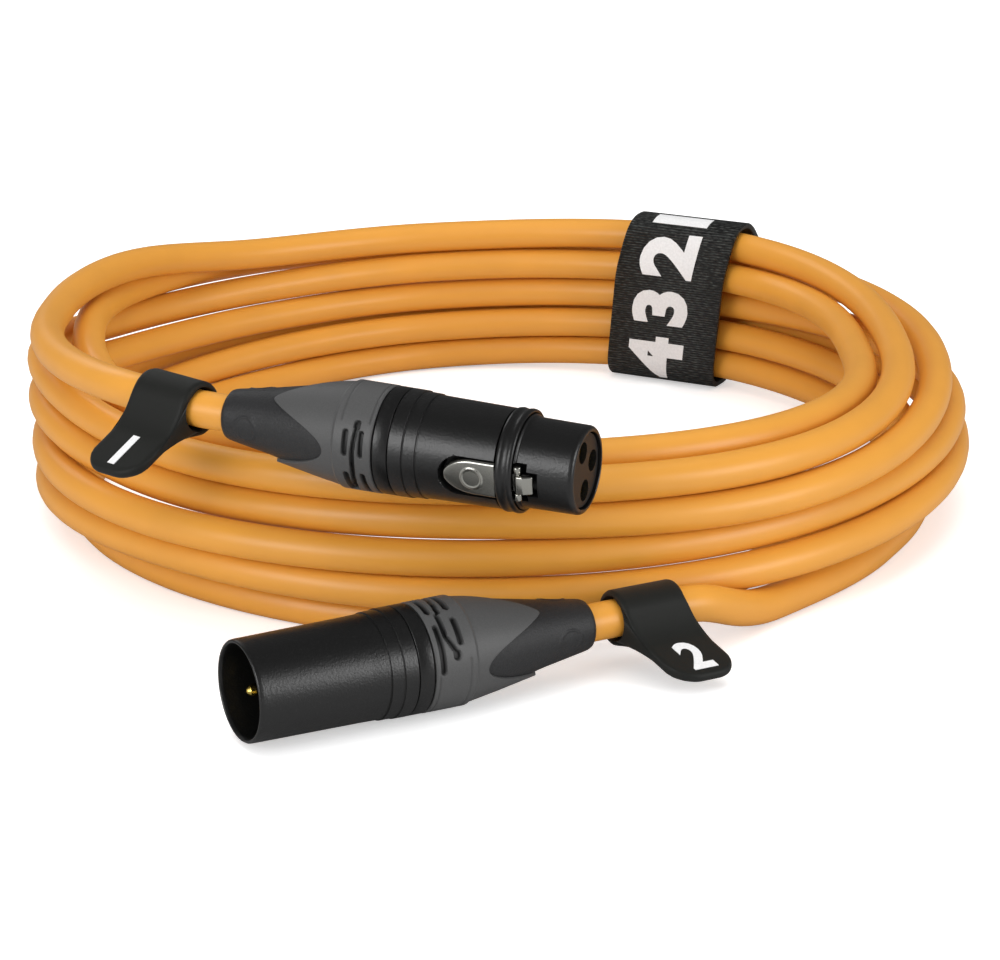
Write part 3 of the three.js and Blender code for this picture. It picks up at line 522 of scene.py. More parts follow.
def bar_grid(profile, start, end, bevel):
    """A bar along y with a profile of (x, z): its end rows are pulled in towards the
    profile's middle by the bevel."""
    profile = np.array(profile, float)
    inward = profile - profile.mean(axis=0)
    inward = inward / np.linalg.norm(inward, axis=1, keepdims=True) * bevel
    y = np.array([start, start + bevel * 0.3, start + bevel, end - bevel, end - bevel * 0.3, end])[:, None]
    pull = np.array([1.0, 0.35, 0, 0, 0.35, 1.0])[:, None]
    x, z = profile.T
    return np.stack([x - pull * inward[:, 0], y + 0 * x, z - pull * inward[:, 1]], -1)


def rounded(corners, radius, steps=5):
    """A polygon of (x, z) whose corners are rounded: each is replaced by points of the
    quadratic curve (1-t)^2 p + 2t(1-t) c + t^2 q between the cuts on both its edges."""
    corners = np.array(corners, float)
    before, after = np.roll(corners, 1, axis=0), np.roll(corners, -1, axis=0)
    p = corners + unit(before - corners) * radius
    q = corners + unit(after - corners) * radius
    t = np.linspace(0, 1, steps)[None, :, None]
    bend = (1 - t) ** 2 * p[:, None] + 2 * t * (1 - t) * corners[:, None] + t**2 * q[:, None]
    return bend.reshape(-1, 2)


def ring_grid(profile):
    """A closed profile turned about the axis."""
    profile = np.array(profile, float)
    return lathed(profile[:, :1], profile[:, 1:], turns(160))


# Grooves on each bushing's band, by width and depth in millimetres. Each runs from a
# nominal x and an angle from the window's middle, in degrees, to another such pair.
BAND_RADIUS, DEEP, FINE = 10.2, 0.8, 0.18
FEMALE_SLOTS = {
    (0.95, DEEP): [
        (-5.6, -26, -5.6, -3), (-2.3, -26, -2.3, -3), (-5.6, 22, -5.6, 56), (-2.1, 22, -2.1, 56),
        (-5.6, 154, -5.6, 177), (-2.3, 154, -2.3, 177), (-5.6, 202, -5.6, 236), (-2.1, 202, -2.1, 236)],
    (0.85, DEEP): [
        (-3.4, -34, -3.9, -8), (-3.9, -8, -4.1, 24), (-4.1, 24, -4.6, 52), (-3.4, 146, -4.4, 232)],
    (1.3, DEEP): [(-3.4, -36, -3.4, -33)],
    (0.22, FINE): [
        (-1.0, -110, -1.0, -38), (-6.9, -110, -6.9, -38), (-1.0, 70, -1.0, 142), (-6.9, 70, -6.9, 142)],
}
MALE_SLOTS = {
    (0.95, DEEP): [
        (-1.6, 8, -1.6, 56), (-5.4, 36, -5.4, 62), (-1.6, 76, -1.6, 108), (-5.4, 78, -5.4, 110),
        (-1.6, 188, -1.6, 236), (-5.4, 216, -5.4, 242)],
    (0.85, DEEP): [
        (-4.3, 26, -2.9, 44), (-2.9, 44, -2.8, 70), (-3.4, 74, -4.2, 130), (-4.3, 206, -2.8, 250)],
    (1.3, DEEP): [(-4.4, 22, -4.4, 25)],
    (0.22, FINE): [
        (-1.0, -66, -1.0, 4), (-6.9, -66, -6.9, 18), (-1.0, 114, -1.0, 184), (-6.9, 114, -6.9, 198)],
}


def tag_grid(skew):
    """A tag in its own frame, in millimetres: x along the cable, y the way its paddle
    points, z the paddle's normal. Its outline across the cable is a ring of radius 5.4
    that flares into a paddle 2 mm thick: the half thickness h(y) is a circle's up to
    y = 3.6, then the cubic that leaves with the circle's slope and lands level at 10.5.
    Rows run along the cable, pulled in at both ends for a rounded edge, and shortened
    over the paddle's corners by 5 - sqrt(5^2 - past^2); then back through the bore. The
    paddle leans along the cable: x is moved by skew (y - 2) where y is over 2."""
    half, outer, reach, thick, corner, edge = TAG_LENGTH / 2, 5.4, 20.0, 1.0, 5.0, 0.9
    rows = np.array([(-half, 0.75), (-half + 0.08, 0.42), (-half + 0.3, 0.14), (-half + 0.7, 0.0)])
    spread = np.linspace(-half + 1.2, half - 1.2, 26)
    rows = np.concatenate([rows, np.stack([spread, 0 * spread], -1), rows[::-1] * [-1, 1]])
    x, pull = rows[:, :1], rows[:, 1:]
    past = np.clip(np.abs(x) - (half - corner), 0, corner * 0.999)
    tip = reach - pull - (corner - np.sqrt(corner**2 - past**2))
    y1, y2 = 3.6, 10.5
    h1 = math.sqrt(outer**2 - y1**2)
    u = np.linspace(0, 1, 16)[None]
    flare_y = y1 + u * (y2 - y1)
    slope = -y1 / h1 * (y2 - y1) * 0.8
    flare = (2 * u**3 - 3 * u**2 + 1) * h1 + (u**3 - 2 * u**2 + u) * slope + (3 * u**2 - 2 * u**3) * thick
    run = np.linspace(0, 1, 9)[None, 1:]
    plate_y = y2 + run * (tip - edge - y2)
    turn = np.linspace(0, np.pi / 2, 5)[None, 1:]
    end_y, end_h = tip - edge + edge * np.sin(turn), thick * np.cos(turn)
    start = math.acos(y1 / outer)
    bend = np.linspace(start, np.pi, 22)[None, :-1][:, ::-1]
    circle_y, circle_h = outer * np.cos(bend), outer * np.sin(bend)
    ones = np.ones_like(x)
    upper_y = np.concatenate([circle_y * ones, (flare_y * ones)[:, 1:], plate_y, end_y], 1)
    plate_h = thick * np.ones_like(plate_y)
    upper_h = np.concatenate([circle_h * ones, (flare * ones)[:, 1:], plate_h, end_h * ones], 1)
    grow = 1 - pull / np.maximum(np.hypot(upper_y, upper_h), outer)
    upper_h = np.maximum(upper_h - pull * np.minimum(upper_h / thick, 1) * 0.8, 0)
    upper_y = np.where(upper_y < y1, upper_y * grow, upper_y)
    lower_y, lower_h = upper_y[:, ::-1][:, 1:], -upper_h[:, ::-1][:, 1:]
    far = -outer * ones + pull
    y = np.concatenate([far, upper_y, lower_y], 1)
    z = np.concatenate([0 * far, upper_h, lower_h], 1)
    angle = np.concatenate([[np.pi], np.linspace(np.pi, -np.pi, y.shape[1] + 1)[1:-1]])[None]
    outside = np.stack(np.broadcast_arrays(x + skew * np.maximum(y - 2, 0), y, z), -1)
    bore_x = np.array([half, half - 1.5, 0, -half + 1.5, -half])[:, None]
    bore_r = np.array([4.4, 4.15, 3.95, 4.15, 4.4])[:, None]
    return np.concatenate([outside, lathed(bore_x, bore_r, angle)])


def tag_frame(connector):
    """A tag's middle, in metres, and its three directions: the cable's, its paddle's and
    its paddle's normal. The paddle points at the viewer's side and hangs by its droop."""
    direction = tag_direction(connector)
    corner = placed(connector, [-connector["rear"] - SEAT_GAP - LEAD_STUB - KINK_REACH, 0, 0])
    bent = corner + direction * KINK_REACH * MM
    away = connector["tag_gap"] + TAG_LENGTH / 2 - SEAT_GAP - LEAD_STUB - 2 * KINK_REACH
    level = unit(np.cross(direction, UP))
    level = level * -np.sign(level[1])
    top = np.cross(direction, level)
    top = top * np.sign(top[2])
    droop = math.radians(connector["droop"])
    paddle = level * math.cos(droop) - top * math.sin(droop)
    normal = level * math.sin(droop) + top * math.cos(droop)
    return bent + direction * away * MM, np.stack([direction, paddle, normal])


def numeral(name, text, size, weight, depth):
    """A flat numeral as a mesh in its own frame, in metres: its middle at the origin, its
    strokes thickened by weight and its sides depth high. It is made a mesh here, before
    it is given its place."""
    curve = bpy.data.curves.new(name, "FONT")
    curve.body, curve.size, curve.offset, curve.extrude = text, size, weight, depth / 2
    curve.align_x, curve.align_y, curve.resolution_u = "CENTER", "CENTER", 4
    maker = linked(name + "_maker", curve)
    bpy.context.view_layer.update()
    mesh = bpy.data.meshes.new_from_object(maker.evaluated_get(bpy.context.evaluated_depsgraph_get()))
    bpy.data.objects.remove(maker)
    bpy.data.curves.remove(curve)
    mesh.name = name
    points = read_points(mesh)
    points[:, :2] -= (points[:, :2].min(axis=0) + points[:, :2].max(axis=0)) / 2
    write_points(mesh, points)
    return linked(name, mesh)


def cut_across(mesh, spacing):
    """Cuts a flat mesh along lines of equal x, so that it can follow a curved band."""
    cut = bmesh.new()
    cut.from_mesh(mesh)
    reach = np.abs(read_points(mesh)[:, 0]).max()
    for x in np.arange(-reach + spacing, reach, spacing):
        bmesh.ops.bisect_plane(
            cut, geom=cut.verts[:] + cut.edges[:] + cut.faces[:], plane_co=(x, 0, 0), plane_no=(1, 0, 0))
    cut.to_mesh(mesh)
    cut.free()


def read_points(mesh):
    """A mesh's vertices as one array."""
    points = np.empty(len(mesh.vertices) * 3, dtype=np.float32)
    mesh.vertices.foreach_get("co", points)
    return points.reshape(-1, 3).astype(float)


def write_points(mesh, points):
    """Sets a mesh's vertices from one array."""
    mesh.vertices.foreach_set("co", np.ascontiguousarray(points, dtype=np.float32).ravel())
    mesh.update()


def dress(obj, material, body, slot, *nodes):
    """Gives a new piece its material and its body, and hides the nodes it stands for. The slot is not used.
    """
    obj.data.materials.append(material)
    if nodes:
        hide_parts(*nodes)
    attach(obj, body)


# -------------------------------------------------------------------------- materials
def add(tree, kind, settings=None, links=None):
    """Adds a node, sets its properties and sockets, and links sockets from other nodes."""
    made = tree.nodes.new(kind)
    for key, value in (settings or {}).items():
        if isinstance(key, str) and hasattr(made, key):
            setattr(made, key, value)
        else:
            made.inputs[key].default_value = value
    for key, (source, output) in (links or {}).items():
        tree.links.new(source.outputs[output], made.inputs[key])
    return made


def finish(name, colour, roughness, **sockets):
    """A material with one Principled shader, and its tree and shader to build on."""
    material = bpy.data.materials.new(name)
    material.use_nodes = True
    tree = material.node_tree
    shader = tree.nodes["Principled BSDF"]
    shader.inputs["Base Color"].default_value = (*colour, 1)
    shader.inputs["Roughness"].default_value = roughness
    for key, value in sockets.items():
        shader.inputs[key.replace("_", " ")].default_value = value
    return material, tree, shader


def grain(tree, shader, size_mm, depth_mm, detail=3.0, strength=1.0):
    """Bump from noise whose grains are size_mm across and depth_mm deep."""
    place = add(tree, "ShaderNodeTexCoord")
    noise = add(tree, "ShaderNodeTexNoise", {"Scale": 1 / (size_mm * MM), "Detail": detail},
                {"Vector": (place, "Object")})
    bump = add(tree, "ShaderNodeBump", {"Strength": strength, "Distance": depth_mm * MM},
               {"Height": (noise, "Fac")})
    tree.links.new(bump.outputs["Normal"], shader.inputs["Normal"])
    return noise


def shade(tree, shader, source, dark, light):
    """The base colour runs from dark to light with a node's value."""
    ramp = add(tree, "ShaderNodeMix", {"data_type": "RGBA", "blend_type": "MIX"})
    ramp.inputs[6].default_value = (*dark, 1)
    ramp.inputs[7].default_value = (*light, 1)
    tree.links.new(source[0].outputs[source[1]], ramp.inputs["Factor"])
    tree.links.new(ramp.outputs[2], shader.inputs["Base Color"])
    return ramp


def scaled(colour, factor):
    """A colour made darker or lighter."""
    return tuple(min(1.0, c * factor) for c in colour)


def mottled(name, colour, roughness, size_mm, depth_mm, dark, light,
            detail=3.0, strength=1.0, **sockets):
    """A material whose noise gives both its grain and its shades, which run from dark to
    light times its colour. Also its tree, its shader and the node of its shades."""
    material, tree, shader = finish(name, colour, roughness, **sockets)
    noise = grain(tree, shader, size_mm, depth_mm, detail, strength)
    shades = shade(tree, shader, (noise, "Fac"), scaled(colour, dark), scaled(colour, light))
    return material, tree, shader, shades


def extruded_pvc(colour):
    """Extruded flexible PVC: an even satin skin, with faint lighter and darker patches
    14 mm across painted into its colour as soft highlights and shade along each strand."""
    material, tree, shader = finish(
        "extruded_pvc", colour, 0.42, IOR=1.5, Coat_Weight=0.12, Coat_Roughness=0.3)
    place = add(tree, "ShaderNodeTexCoord")
    painted_patches = add(tree, "ShaderNodeTexNoise", {"Scale": 1 / (14 * MM), "Detail": 2.0},
                 {"Vector": (place, "Object")})
    # Painted highlight and shade: the colour runs from 0.93 to 1.06 times itself with the patches' noise.
    shade(tree, shader, (painted_patches, "Fac"), scaled(colour, 0.93), scaled(colour, 1.06))
    grain(tree, shader, 0.9, 0.02, strength=0.5)
    return material


def woven_webbing(colour):
    """Woven nylon webbing: ribs across the band every 0.6 mm, each broken into yarns
    about 1.3 mm long. Rows of short grey glints are painted into its black colour: they
    come from a noise that is stretched across the band and weighted by the rib's height."""
    rib_pitch, yarn_width, yarn_length = 0.6 * MM, 0.45 * MM, 1.3 * MM
    material, tree, shader = finish("woven_nylon", colour, 0.5)
    place = add(tree, "ShaderNodeUVMap")
    split = add(tree, "ShaderNodeSeparateXYZ", None, {"Vector": (place, "UV")})
    rib_turn = add(tree, "ShaderNodeMath", {"operation": "MULTIPLY", 1: 2 * math.pi / rib_pitch},
                   {0: (split, "X")})
    rib = add(tree, "ShaderNodeMath", {"operation": "SINE"}, {0: (rib_turn, "Value")})
    height = add(tree, "ShaderNodeMapRange", {"From Min": -1.0, "From Max": 1.0}, {"Value": (rib, "Value")})
    stretch = add(tree, "ShaderNodeMapping", {"Scale": (1 / yarn_width, 1 / yarn_length, 1)},
                  {"Vector": (place, "UV")})
    yarn = add(tree, "ShaderNodeTexNoise", {"Scale": 1.0, "Detail": 2.0}, {"Vector": (stretch, "Vector")})
    # Painted glints: the base colour runs from half to eleven times itself where the yarn noise is high on a
    # rib's crest.
    painted_glint = add(tree, "ShaderNodeMapRange", {"From Min": 0.42, "From Max": 0.72}, {"Value": (yarn, "Fac")})
    painted_glint_level = add(tree, "ShaderNodeMath", {"operation": "MULTIPLY"},
                {0: (height, "Result"), 1: (painted_glint, "Result")})
    shade(tree, shader, (painted_glint_level, "Value"), scaled(colour, 0.5), scaled(colour, 11.0))
    bump = add(tree, "ShaderNodeBump", {"Strength": 0.9, "Distance": 0.15 * MM},
               {"Height": (height, "Result")})
    tree.links.new(bump.outputs["Normal"], shader.inputs["Normal"])
    return material


def screen_ink(colour):
    """Screen-printed white ink: opaque and matt, with the weave faint under it."""
    return mottled("screen_ink", colour, 0.6, 0.5, 0.03, 0.82, 1.08)[0]


def black_coat(colour):
    """Black electro-coat on die-cast zinc: satin black with pale specks painted into its
    colour as glints, and a broad soft highlight along the shell. The real grain is finer
    than shows, so it is drawn 0.45 mm across."""
    material, tree, shader = finish("black_coated_zinc", colour, 0.36, IOR=1.65)
    noise = grain(tree, shader, 0.45, 0.045, detail=4.0)
    # Painted glints: pale specks where the grain noise is high, up to three times the colour.
    painted_glint_specks = add(tree, "ShaderNodeMapRange", {"From Min": 0.6, "From Max": 0.75}, {"Value": (noise, "Fac")})
    shade(tree, shader, (painted_glint_specks, "Result"), colour, scaled(colour, 3.0))
    return material


def moulded_polyamide(colour):
    """Moulded polyamide: mid grey, spark-eroded to a fine even grain, nearly matt. In the
    grooves the colour is mixed towards black by their depth: the black inner sleeve in the
    deep slots, and painted shade in the fine grooves."""
    material, tree, shader, shades = mottled(
        "moulded_polyamide", colour, 0.5, 0.25, 0.025, 0.75, 1.25, strength=0.7, IOR=1.53)
    # Painted shade in the grooves, by their depth; black inner sleeve in the deep slots.
    mark = add(tree, "ShaderNodeAttribute", {"attribute_name": "sleeve_and_painted_shade"})
    sleeve_and_shade_mix = add(tree, "ShaderNodeMix", {"data_type": "RGBA"}, {"Factor": (mark, "Fac"), 6: (shades, 2)})
    sleeve_and_shade_mix.inputs[7].default_value = (0.003, 0.003, 0.003, 1)
    tree.links.new(sleeve_and_shade_mix.outputs[2], shader.inputs["Base Color"])
    return material


def grained_elastomer(colour):
    """Thermoplastic elastomer: black and soft, with a coarse sanded grain that breaks
    the light up."""
    return mottled("grained_elastomer", colour, 0.5, 0.33, 0.09, 0.5, 1.9, detail=4.0, IOR=1.5)[0]


def silicone_rubber(colour):
    """Moulded silicone rubber: smooth matt black with a soft sheen at grazing angles."""
    return mottled("silicone_rubber", colour, 0.6, 0.6, 0.008, 0.85, 1.15, IOR=1.43, Sheen_Weight=0.05)[0]


def nickel_plate():
    """Nickel-plated pressed steel: warm bright metal, tumbled, with fine scratches."""
    material, tree, shader = finish("nickel_plated_steel", linear("#C9C8C0"), 0.24, Metallic=1.0)
    grain(tree, shader, 0.4, 0.006)
    return material


def gold_plate():
    """Gold-plated brass: a bright yellow metal."""
    material, tree, shader = finish("gold_plated_brass", linear("#E2C568"), 0.18, Metallic=1.0)
    grain(tree, shader, 0.5, 0.003)
    return material


def hard_plastic(name, code):
    """Moulded hard plastic, such as an insert or a wire's insulation: dull, with a fine
    grain."""
    return mottled(name, linear(code), 0.5, 0.3, 0.01, 0.85, 1.15)[0]


def assign(material, *names):
    """Gives CAD nodes their material."""
    for name in names:
        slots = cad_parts[name].data.materials
        slots.clear()
        slots.append(material)


def pair(suffix):
    """The names of one piece of both connectors."""
    return [f"male_{suffix}", f"female_{suffix}"]


# -------------------------------------------------------------------------- operators
class CABLE_OT_cord(bpy.types.Operator):
    """Makes the cable as one tube from the male boot round the coil to the female boot"""

    bl_idname = "cable_coil.cord"
    bl_label = "Cable"

    def execute(self, context):
        """Ring points are the route plus r (side cos a + rise sin a), where side is level
        and square to the route, and rise is square to both."""
        settings = context.scene.cable_settings
        route, length = cable_route(settings.spacing)
        tangent = unit(np.gradient(route, axis=0))
        side = unit(np.cross(tangent, UP))
        rise = np.cross(side, tangent)
        angle = np.linspace(0, 2 * np.pi, settings.sides, endpoint=False)[None, :, None]
        radius = settings.diameter / 2
        grid = route[:, None] + radius * (side[:, None] * np.cos(angle) + rise[:, None] * np.sin(angle))
        along = np.linspace(0, length, len(route))
        around = np.linspace(0, np.pi * settings.diameter, settings.sides + 1)
        uv = np.stack(np.broadcast_arrays(along[:, None], around[None]), -1)
        cable = surface("cable", grid, uv=uv)
        pvc = extruded_pvc(tuple(settings.colour))
        dress(cable, pvc, "cable", "jacket", "cable_coil", "cable_lead_male", "cable_lead_female")
        return {"FINISHED"}


STRAP_PITCH = 1.2 * MM             # between the points of the strap's outline
LEAN_HEIGHT = 12 * MM              # where the leaning strap stands at its azimuth
# The strap's section: the place across its width, and the height in its thickness.
STRAP_SECTION = np.array([
    (-0.485, 0), (0, 0), (0.485, 0), (0.5, 0.3), (0.5, 0.8), (0.485, 1), (0, 1), (-0.485, 1),
    (-0.5, 0.8), (-0.5, 0.3), (-0.492, 0)])
# Each printed number, and how far up the band its middle lies from the middle of the
# side that the photo shows, in millimetres.
STRAP_NUMERALS = (("4", -11.6), ("3", 0.9), ("2", 13.0), ("1", 21.8))


def strap_outline(azimuth, clearance, thickness, count=96):
    """The band's line round the bundle, in metres from the ring's axis and the table, and
    its outward normals. In each direction the farthest strand is found, and the point
    lies one cable radius and the clearance out from it; five passes of a three-point mean
    round the corners."""
    passes = np.arange(azimuth, COIL_END, 360.0)
    offsets = np.array([-11.5, -8.0, -4.0, 0.0, 4.0, 8.5])
    r, z = coil_rz((passes[:, None] + offsets).ravel())
    r = r * np.cos(np.radians(np.tile(offsets, len(passes))))
    angle = np.linspace(-np.pi / 2, 3 * np.pi / 2, count, endpoint=False)
    ray = np.stack([np.cos(angle), np.sin(angle)], -1)
    strands = np.stack([r, z], -1)
    far = np.argmax(strands @ ray.T, axis=0)
    line = (strands[far] + ray * (SOLID_CABLE / 2 + clearance / MM)) * MM
    line, _ = resampled(np.concatenate([np.c_[line, np.zeros(count)], [[*line[0], 0]]]), STRAP_PITCH)
    line = line[:-1, :2]
    for _ in range(5):
        line = (np.roll(line, 1, axis=0) + 2 * line + np.roll(line, -1, axis=0)) / 4
    line[:, 1] = np.maximum(line[:, 1], thickness)
    tangent = unit(np.roll(line, -1, axis=0) - np.roll(line, 1, axis=0))
    normal = np.stack([tangent[:, 1], -tangent[:, 0]], -1)
    normal *= np.sign(np.sum(normal * (line - line.mean(axis=0)), axis=1, keepdims=True))
    return line, normal


def strap_point(settings, outline, at, side, height):
    """Points of the strap: at is the place along its outline, counted in the outline's
    points, side is across the width, and height is out from the outline. The point is
    outline + normal times height in the plane through the ring's axis, and then side less
    lean (z - 12 mm) along the ring."""
    place, away = (np.stack([np.interp(at, np.arange(len(table)), table[:, k], period=len(table))
                             for k in (0, 1)], -1) for table in outline)
    rz = place + unit(away) * height[..., None]
    a = math.radians(settings.azimuth)
    out, round_ring = np.array([math.cos(a), math.sin(a), 0]), np.array([-math.sin(a), math.cos(a), 0])
    rise = np.maximum(rz[..., 1], 0)
    leaned = side - settings.lean * (rz[..., 1] - LEAN_HEIGHT)
    return COIL_CENTRE + rz[..., :1] * out + rise[..., None] * UP + leaned[..., None] * round_ring


def strap_layer(name, settings, outline, rows, along, height, shift=0.0, closed=False):
    """One layer of webbing: the section is carried along the outline's rows. Its height
    runs over the two values given for each row, and it is moved by shift to one side."""
    side, level = STRAP_SECTION.T
    side = side * settings.width
    low, high = height
    level = low[:, None] + level * (high - low)[:, None]
    at = rows[:, None] + 0 * level
    uv = np.stack(np.broadcast_arrays(along[:, None], np.append(side, side[0])[None]), -1)
    grid = strap_point(settings, outline, at, side + shift + 0 * level, level)
    return surface(name, grid, along_closed=closed, uv=uv, sharp=50)


class CABLE_OT_strap(bpy.types.Operator):
    """Makes the woven strap round the bundle and the numbers printed on it"""

    bl_idname = "cable_coil.strap"
    bl_label = "Strap"

    def execute(self, context):
        """The band goes once round the bundle. Its end laps over the side away from the
        photo, and each number is laid on it, cut where it has to bend."""
        settings = context.scene.strap_settings
        thick, width = settings.thickness, settings.width
        outline = line, _ = strap_outline(settings.azimuth, settings.slack, thick)
        rows = np.arange(len(line), dtype=float)
        travelled = np.concatenate([[0], np.cumsum(np.linalg.norm(np.diff(line, axis=0), axis=1))])
        length = travelled[-1] + np.linalg.norm(line[0] - line[-1])
        strap = strap_layer("strap", settings, outline, rows, np.append(travelled, length),
                            (0 * rows, 0 * rows + thick), closed=True)
        webbing = woven_webbing(tuple(settings.colour))
        dress(strap, webbing, "cable", "webbing", "cable_strap")

        middle = line.mean(axis=0)
        far_side = line[:, 0] > middle[0]
        lapped = np.flatnonzero(far_side & (line[:, 1] < middle[1] + 8 * MM) & (line[:, 1] > 6 * MM))
        rows = np.arange(lapped[0], lapped[-1] + 1, dtype=float)
        taper = np.minimum(np.minimum(rows - rows[0], rows[-1] - rows) + 0.25, 1)
        lap = strap_layer("strap_lap", settings, outline, rows, rows * STRAP_PITCH,
                          (0 * rows + thick, thick + 0.85 * thick * taper), shift=1.2 * MM)
        dress(lap, webbing, "cable", "webbing")

        ink = screen_ink(tuple(settings.print_colour))
        pitch = np.linalg.norm(line[1] - line[0])
        middle_row = int(np.argmin(np.abs(line[:, 1] - 19.5 * MM) + far_side))
        upwards = np.sign(line[middle_row + 1, 1] - line[middle_row - 1, 1])
        for text, reach in STRAP_NUMERALS:
            mark = numeral(f"strap_numeral_{text}", text, size=18.6 * MM, weight=0.9 * MM, depth=0.06 * MM)
            cut_across(mark.data, spacing=0.9 * MM)
            flat = read_points(mark.data)
            at = middle_row + upwards * (reach * MM + flat[:, 0]) / pitch
            write_points(mark.data, strap_point(
                settings, outline, at, flat[:, 1] + 1.3 * MM, thick + 0.05 * MM + flat[:, 2]))
            dress(mark, ink, "cable", "webbing")
        return {"FINISHED"}


CODING_RING = [(0.15, 9.15), (0.15, 10.0), (0.3, 10.18), (2.9, 10.15), (3.05, 10.0), (3.05, 9.15)]
LATCH_RING = [
    (24.2, 9.15), (24.2, 9.42), (24.4, 9.66), (24.8, 9.74), (25.15, 9.7), (25.35, 9.58), (26.25, 9.58),
    (26.45, 9.7), (26.8, 9.74), (27.2, 9.66), (27.4, 9.42), (27.4, 9.15)]


def latch_grids():
    """The latch's pieces: the pad, the leg that carries it under the ring, the tooth, and
    two lugs 0.72 mm in radius on an axle."""
    turn = np.linspace(0, 2 * np.pi, 24, endpoint=False)
    lug = np.stack([28.3 + 0.72 * np.cos(turn), 8.15 + 0.72 * np.sin(turn)], -1)
    axle = 28.3 + (lug - 28.3) * [0.6, 1] - [0, 0.2]
    tooth = rounded([(27.6, 7.6), (31.2, 7.6), (31.2, 8.35), (29.6, 9.15), (28.3, 9.15), (27.6, 8.3)], 0.22)
    leg = rounded([(23.4, 7.5), (28.0, 7.5), (28.0, 8.25), (23.4, 8.25)], 0.15)
    return {
        "pad": pad_grid(), "leg": bar_grid(leg, -1.8, 1.8, 0.15), "tooth": bar_grid(tooth, -1.8, 1.8, 0.2),
        "lug_left": bar_grid(lug, -3.5, -2.0, 0.2), "lug_right": bar_grid(lug, 2.0, 3.5, 0.2),
        "axle": bar_grid(axle, -2.1, 2.1, 0.05)}


class CABLE_OT_connectors(bpy.types.Operator):
    """Gives both connectors' pieces their finishes"""

    bl_idname = "cable_coil.connectors"
    bl_label = "Connectors"

    def execute(self, context):
        """Shells, rings, bushings and boots are new smooth surfaces from their grids, and
        so are the latch's pieces. The inserts, the pins and the inner pieces keep the
        solids' shapes."""
        colours = context.scene.connector_settings
        coat = black_coat(tuple(colours.shell_colour))
        hard = moulded_polyamide(tuple(colours.bushing_colour))
        soft = grained_elastomer(tuple(colours.boot_colour))
        nickel = nickel_plate()
        for name, grid in latch_grids().items():
            obj = surface(f"female_latch_{name}", placed(FEMALE, grid), sharp=40)
            dress(obj, nickel, "latch", "nickel", *(["female_latch"] if name == "pad" else []))
        pieces = [("female_latch_ring", FEMALE, ring_grid(LATCH_RING), coat, "cable", "shell", 50)]
        for sex, connector, shell, slots in (
                ("male", MALE, male_shell_grid(), MALE_SLOTS),
                ("female", FEMALE, female_shell_grid(), FEMALE_SLOTS)):
            bushing = bushing_grid(connector, slots)
            pieces += [
                (f"{sex}_shell", connector, shell, coat, "cable", "shell", 40),
                (f"{sex}_coding_ring", connector, ring_grid(CODING_RING), coat, f"{sex}_ring", "bushing", 50),
                (f"{sex}_bushing", connector, bushing, hard, f"{sex}_nut", "bushing", 60),
                (f"{sex}_boot_grip", connector, boot_grid(connector), soft, f"{sex}_nut", "boot", 60)]
        for node, connector, grid, material, body, slot, sharp in pieces:
            grid, sleeve_and_painted_shade = grid if isinstance(grid, tuple) else (grid, None)
            obj = surface(
                f"{node}_skin", placed(connector, grid), along_closed=True, sharp=sharp, sleeve_and_painted_shade=sleeve_and_painted_shade)
            dress(obj, material, body, slot, node)
        assign(hard_plastic("glass_filled_polyester", "#0D0D0D"), *pair("insert"))
        assign(hard_plastic("white_acetal", "#D8D8D2"), *pair("chuck"))
        pins = [f"male_pin_{n}" for n in (1, 2, 3)] + [f"female_contact_{n}" for n in (1, 2, 3)]
        assign(gold_plate(), *pins)
        assign(hard_plastic("red_insulation", "#A83428"), *pair("wire_hot"))
        assign(hard_plastic("blue_insulation", "#3A68A8"), *pair("wire_cold"))
        assign(hard_plastic("copper_screen", "#B0764A"), *pair("wire_shield"))
        assign(extruded_pvc(tuple(context.scene.cable_settings.colour)), *pair("cable_end"))
        return {"FINISHED"}


class CABLE_OT_tags(bpy.types.Operator):
    """Gives the identification tags their finish"""

    bl_idname = "cable_coil.tags"
    bl_label = "Tags"

    def execute(self, context):
        """Tag points are middle + x direction + y paddle + z normal. Each has one plain
        numeral in white ink, laid 0.05 mm over the paddle's upper face."""
        rubber = silicone_rubber(tuple(context.scene.connector_settings.tag_colour))
        ink = screen_ink(tuple(context.scene.strap_settings.print_colour))
        for sex, connector, text in (("male", MALE, "2"), ("female", FEMALE, "1")):
            middle, axes = tag_frame(connector)
            grid = middle + tag_grid(connector["skew"]) @ axes * MM
            tag = surface(f"{sex}_tag_skin", grid, along_closed=True, sharp=50)
            dress(tag, rubber, f"{sex}_tag", "rubber", f"{sex}_id_tag")
            mark = numeral(f"{sex}_tag_numeral", text, size=10 * MM, weight=0.35 * MM, depth=0.1 * MM)
            flat = read_points(mark.data)
            right = 1 if axes[0][0] > 0 else -1
            down = 14.4 * MM - flat[:, 1]
            leaned = flat[:, 0] * right + connector["skew"] * (down - 2 * MM)
            local = np.stack([leaned, down, flat[:, 2] + 1.05 * MM], -1)
            write_points(mark.data, middle + local @ axes)
            if np.linalg.det(axes) * -right < 0:
                mark.data.flip_normals()
            dress(mark, ink, f"{sex}_tag", "rubber")
        return {"FINISHED"}


# Each lamp's place from the ring's middle and its size, in metres, its power in watts,
# and whether it is seen in reflections.
LAMPS = {
    "key": ((-0.15, -0.75, 0.85), 0.8, 2.7, False), "top": ((0.05, 0.1, 1.1), 0.9, 4.7, False),
    "left_box": ((-0.70, -0.76, 0.34), 0.5, 3.9, True), "right_box": ((0.88, -0.56, 0.30), 0.5, 3.9, True),
    "rim": ((-0.5, 0.75, 0.6), 0.4, 0.9, True),
}


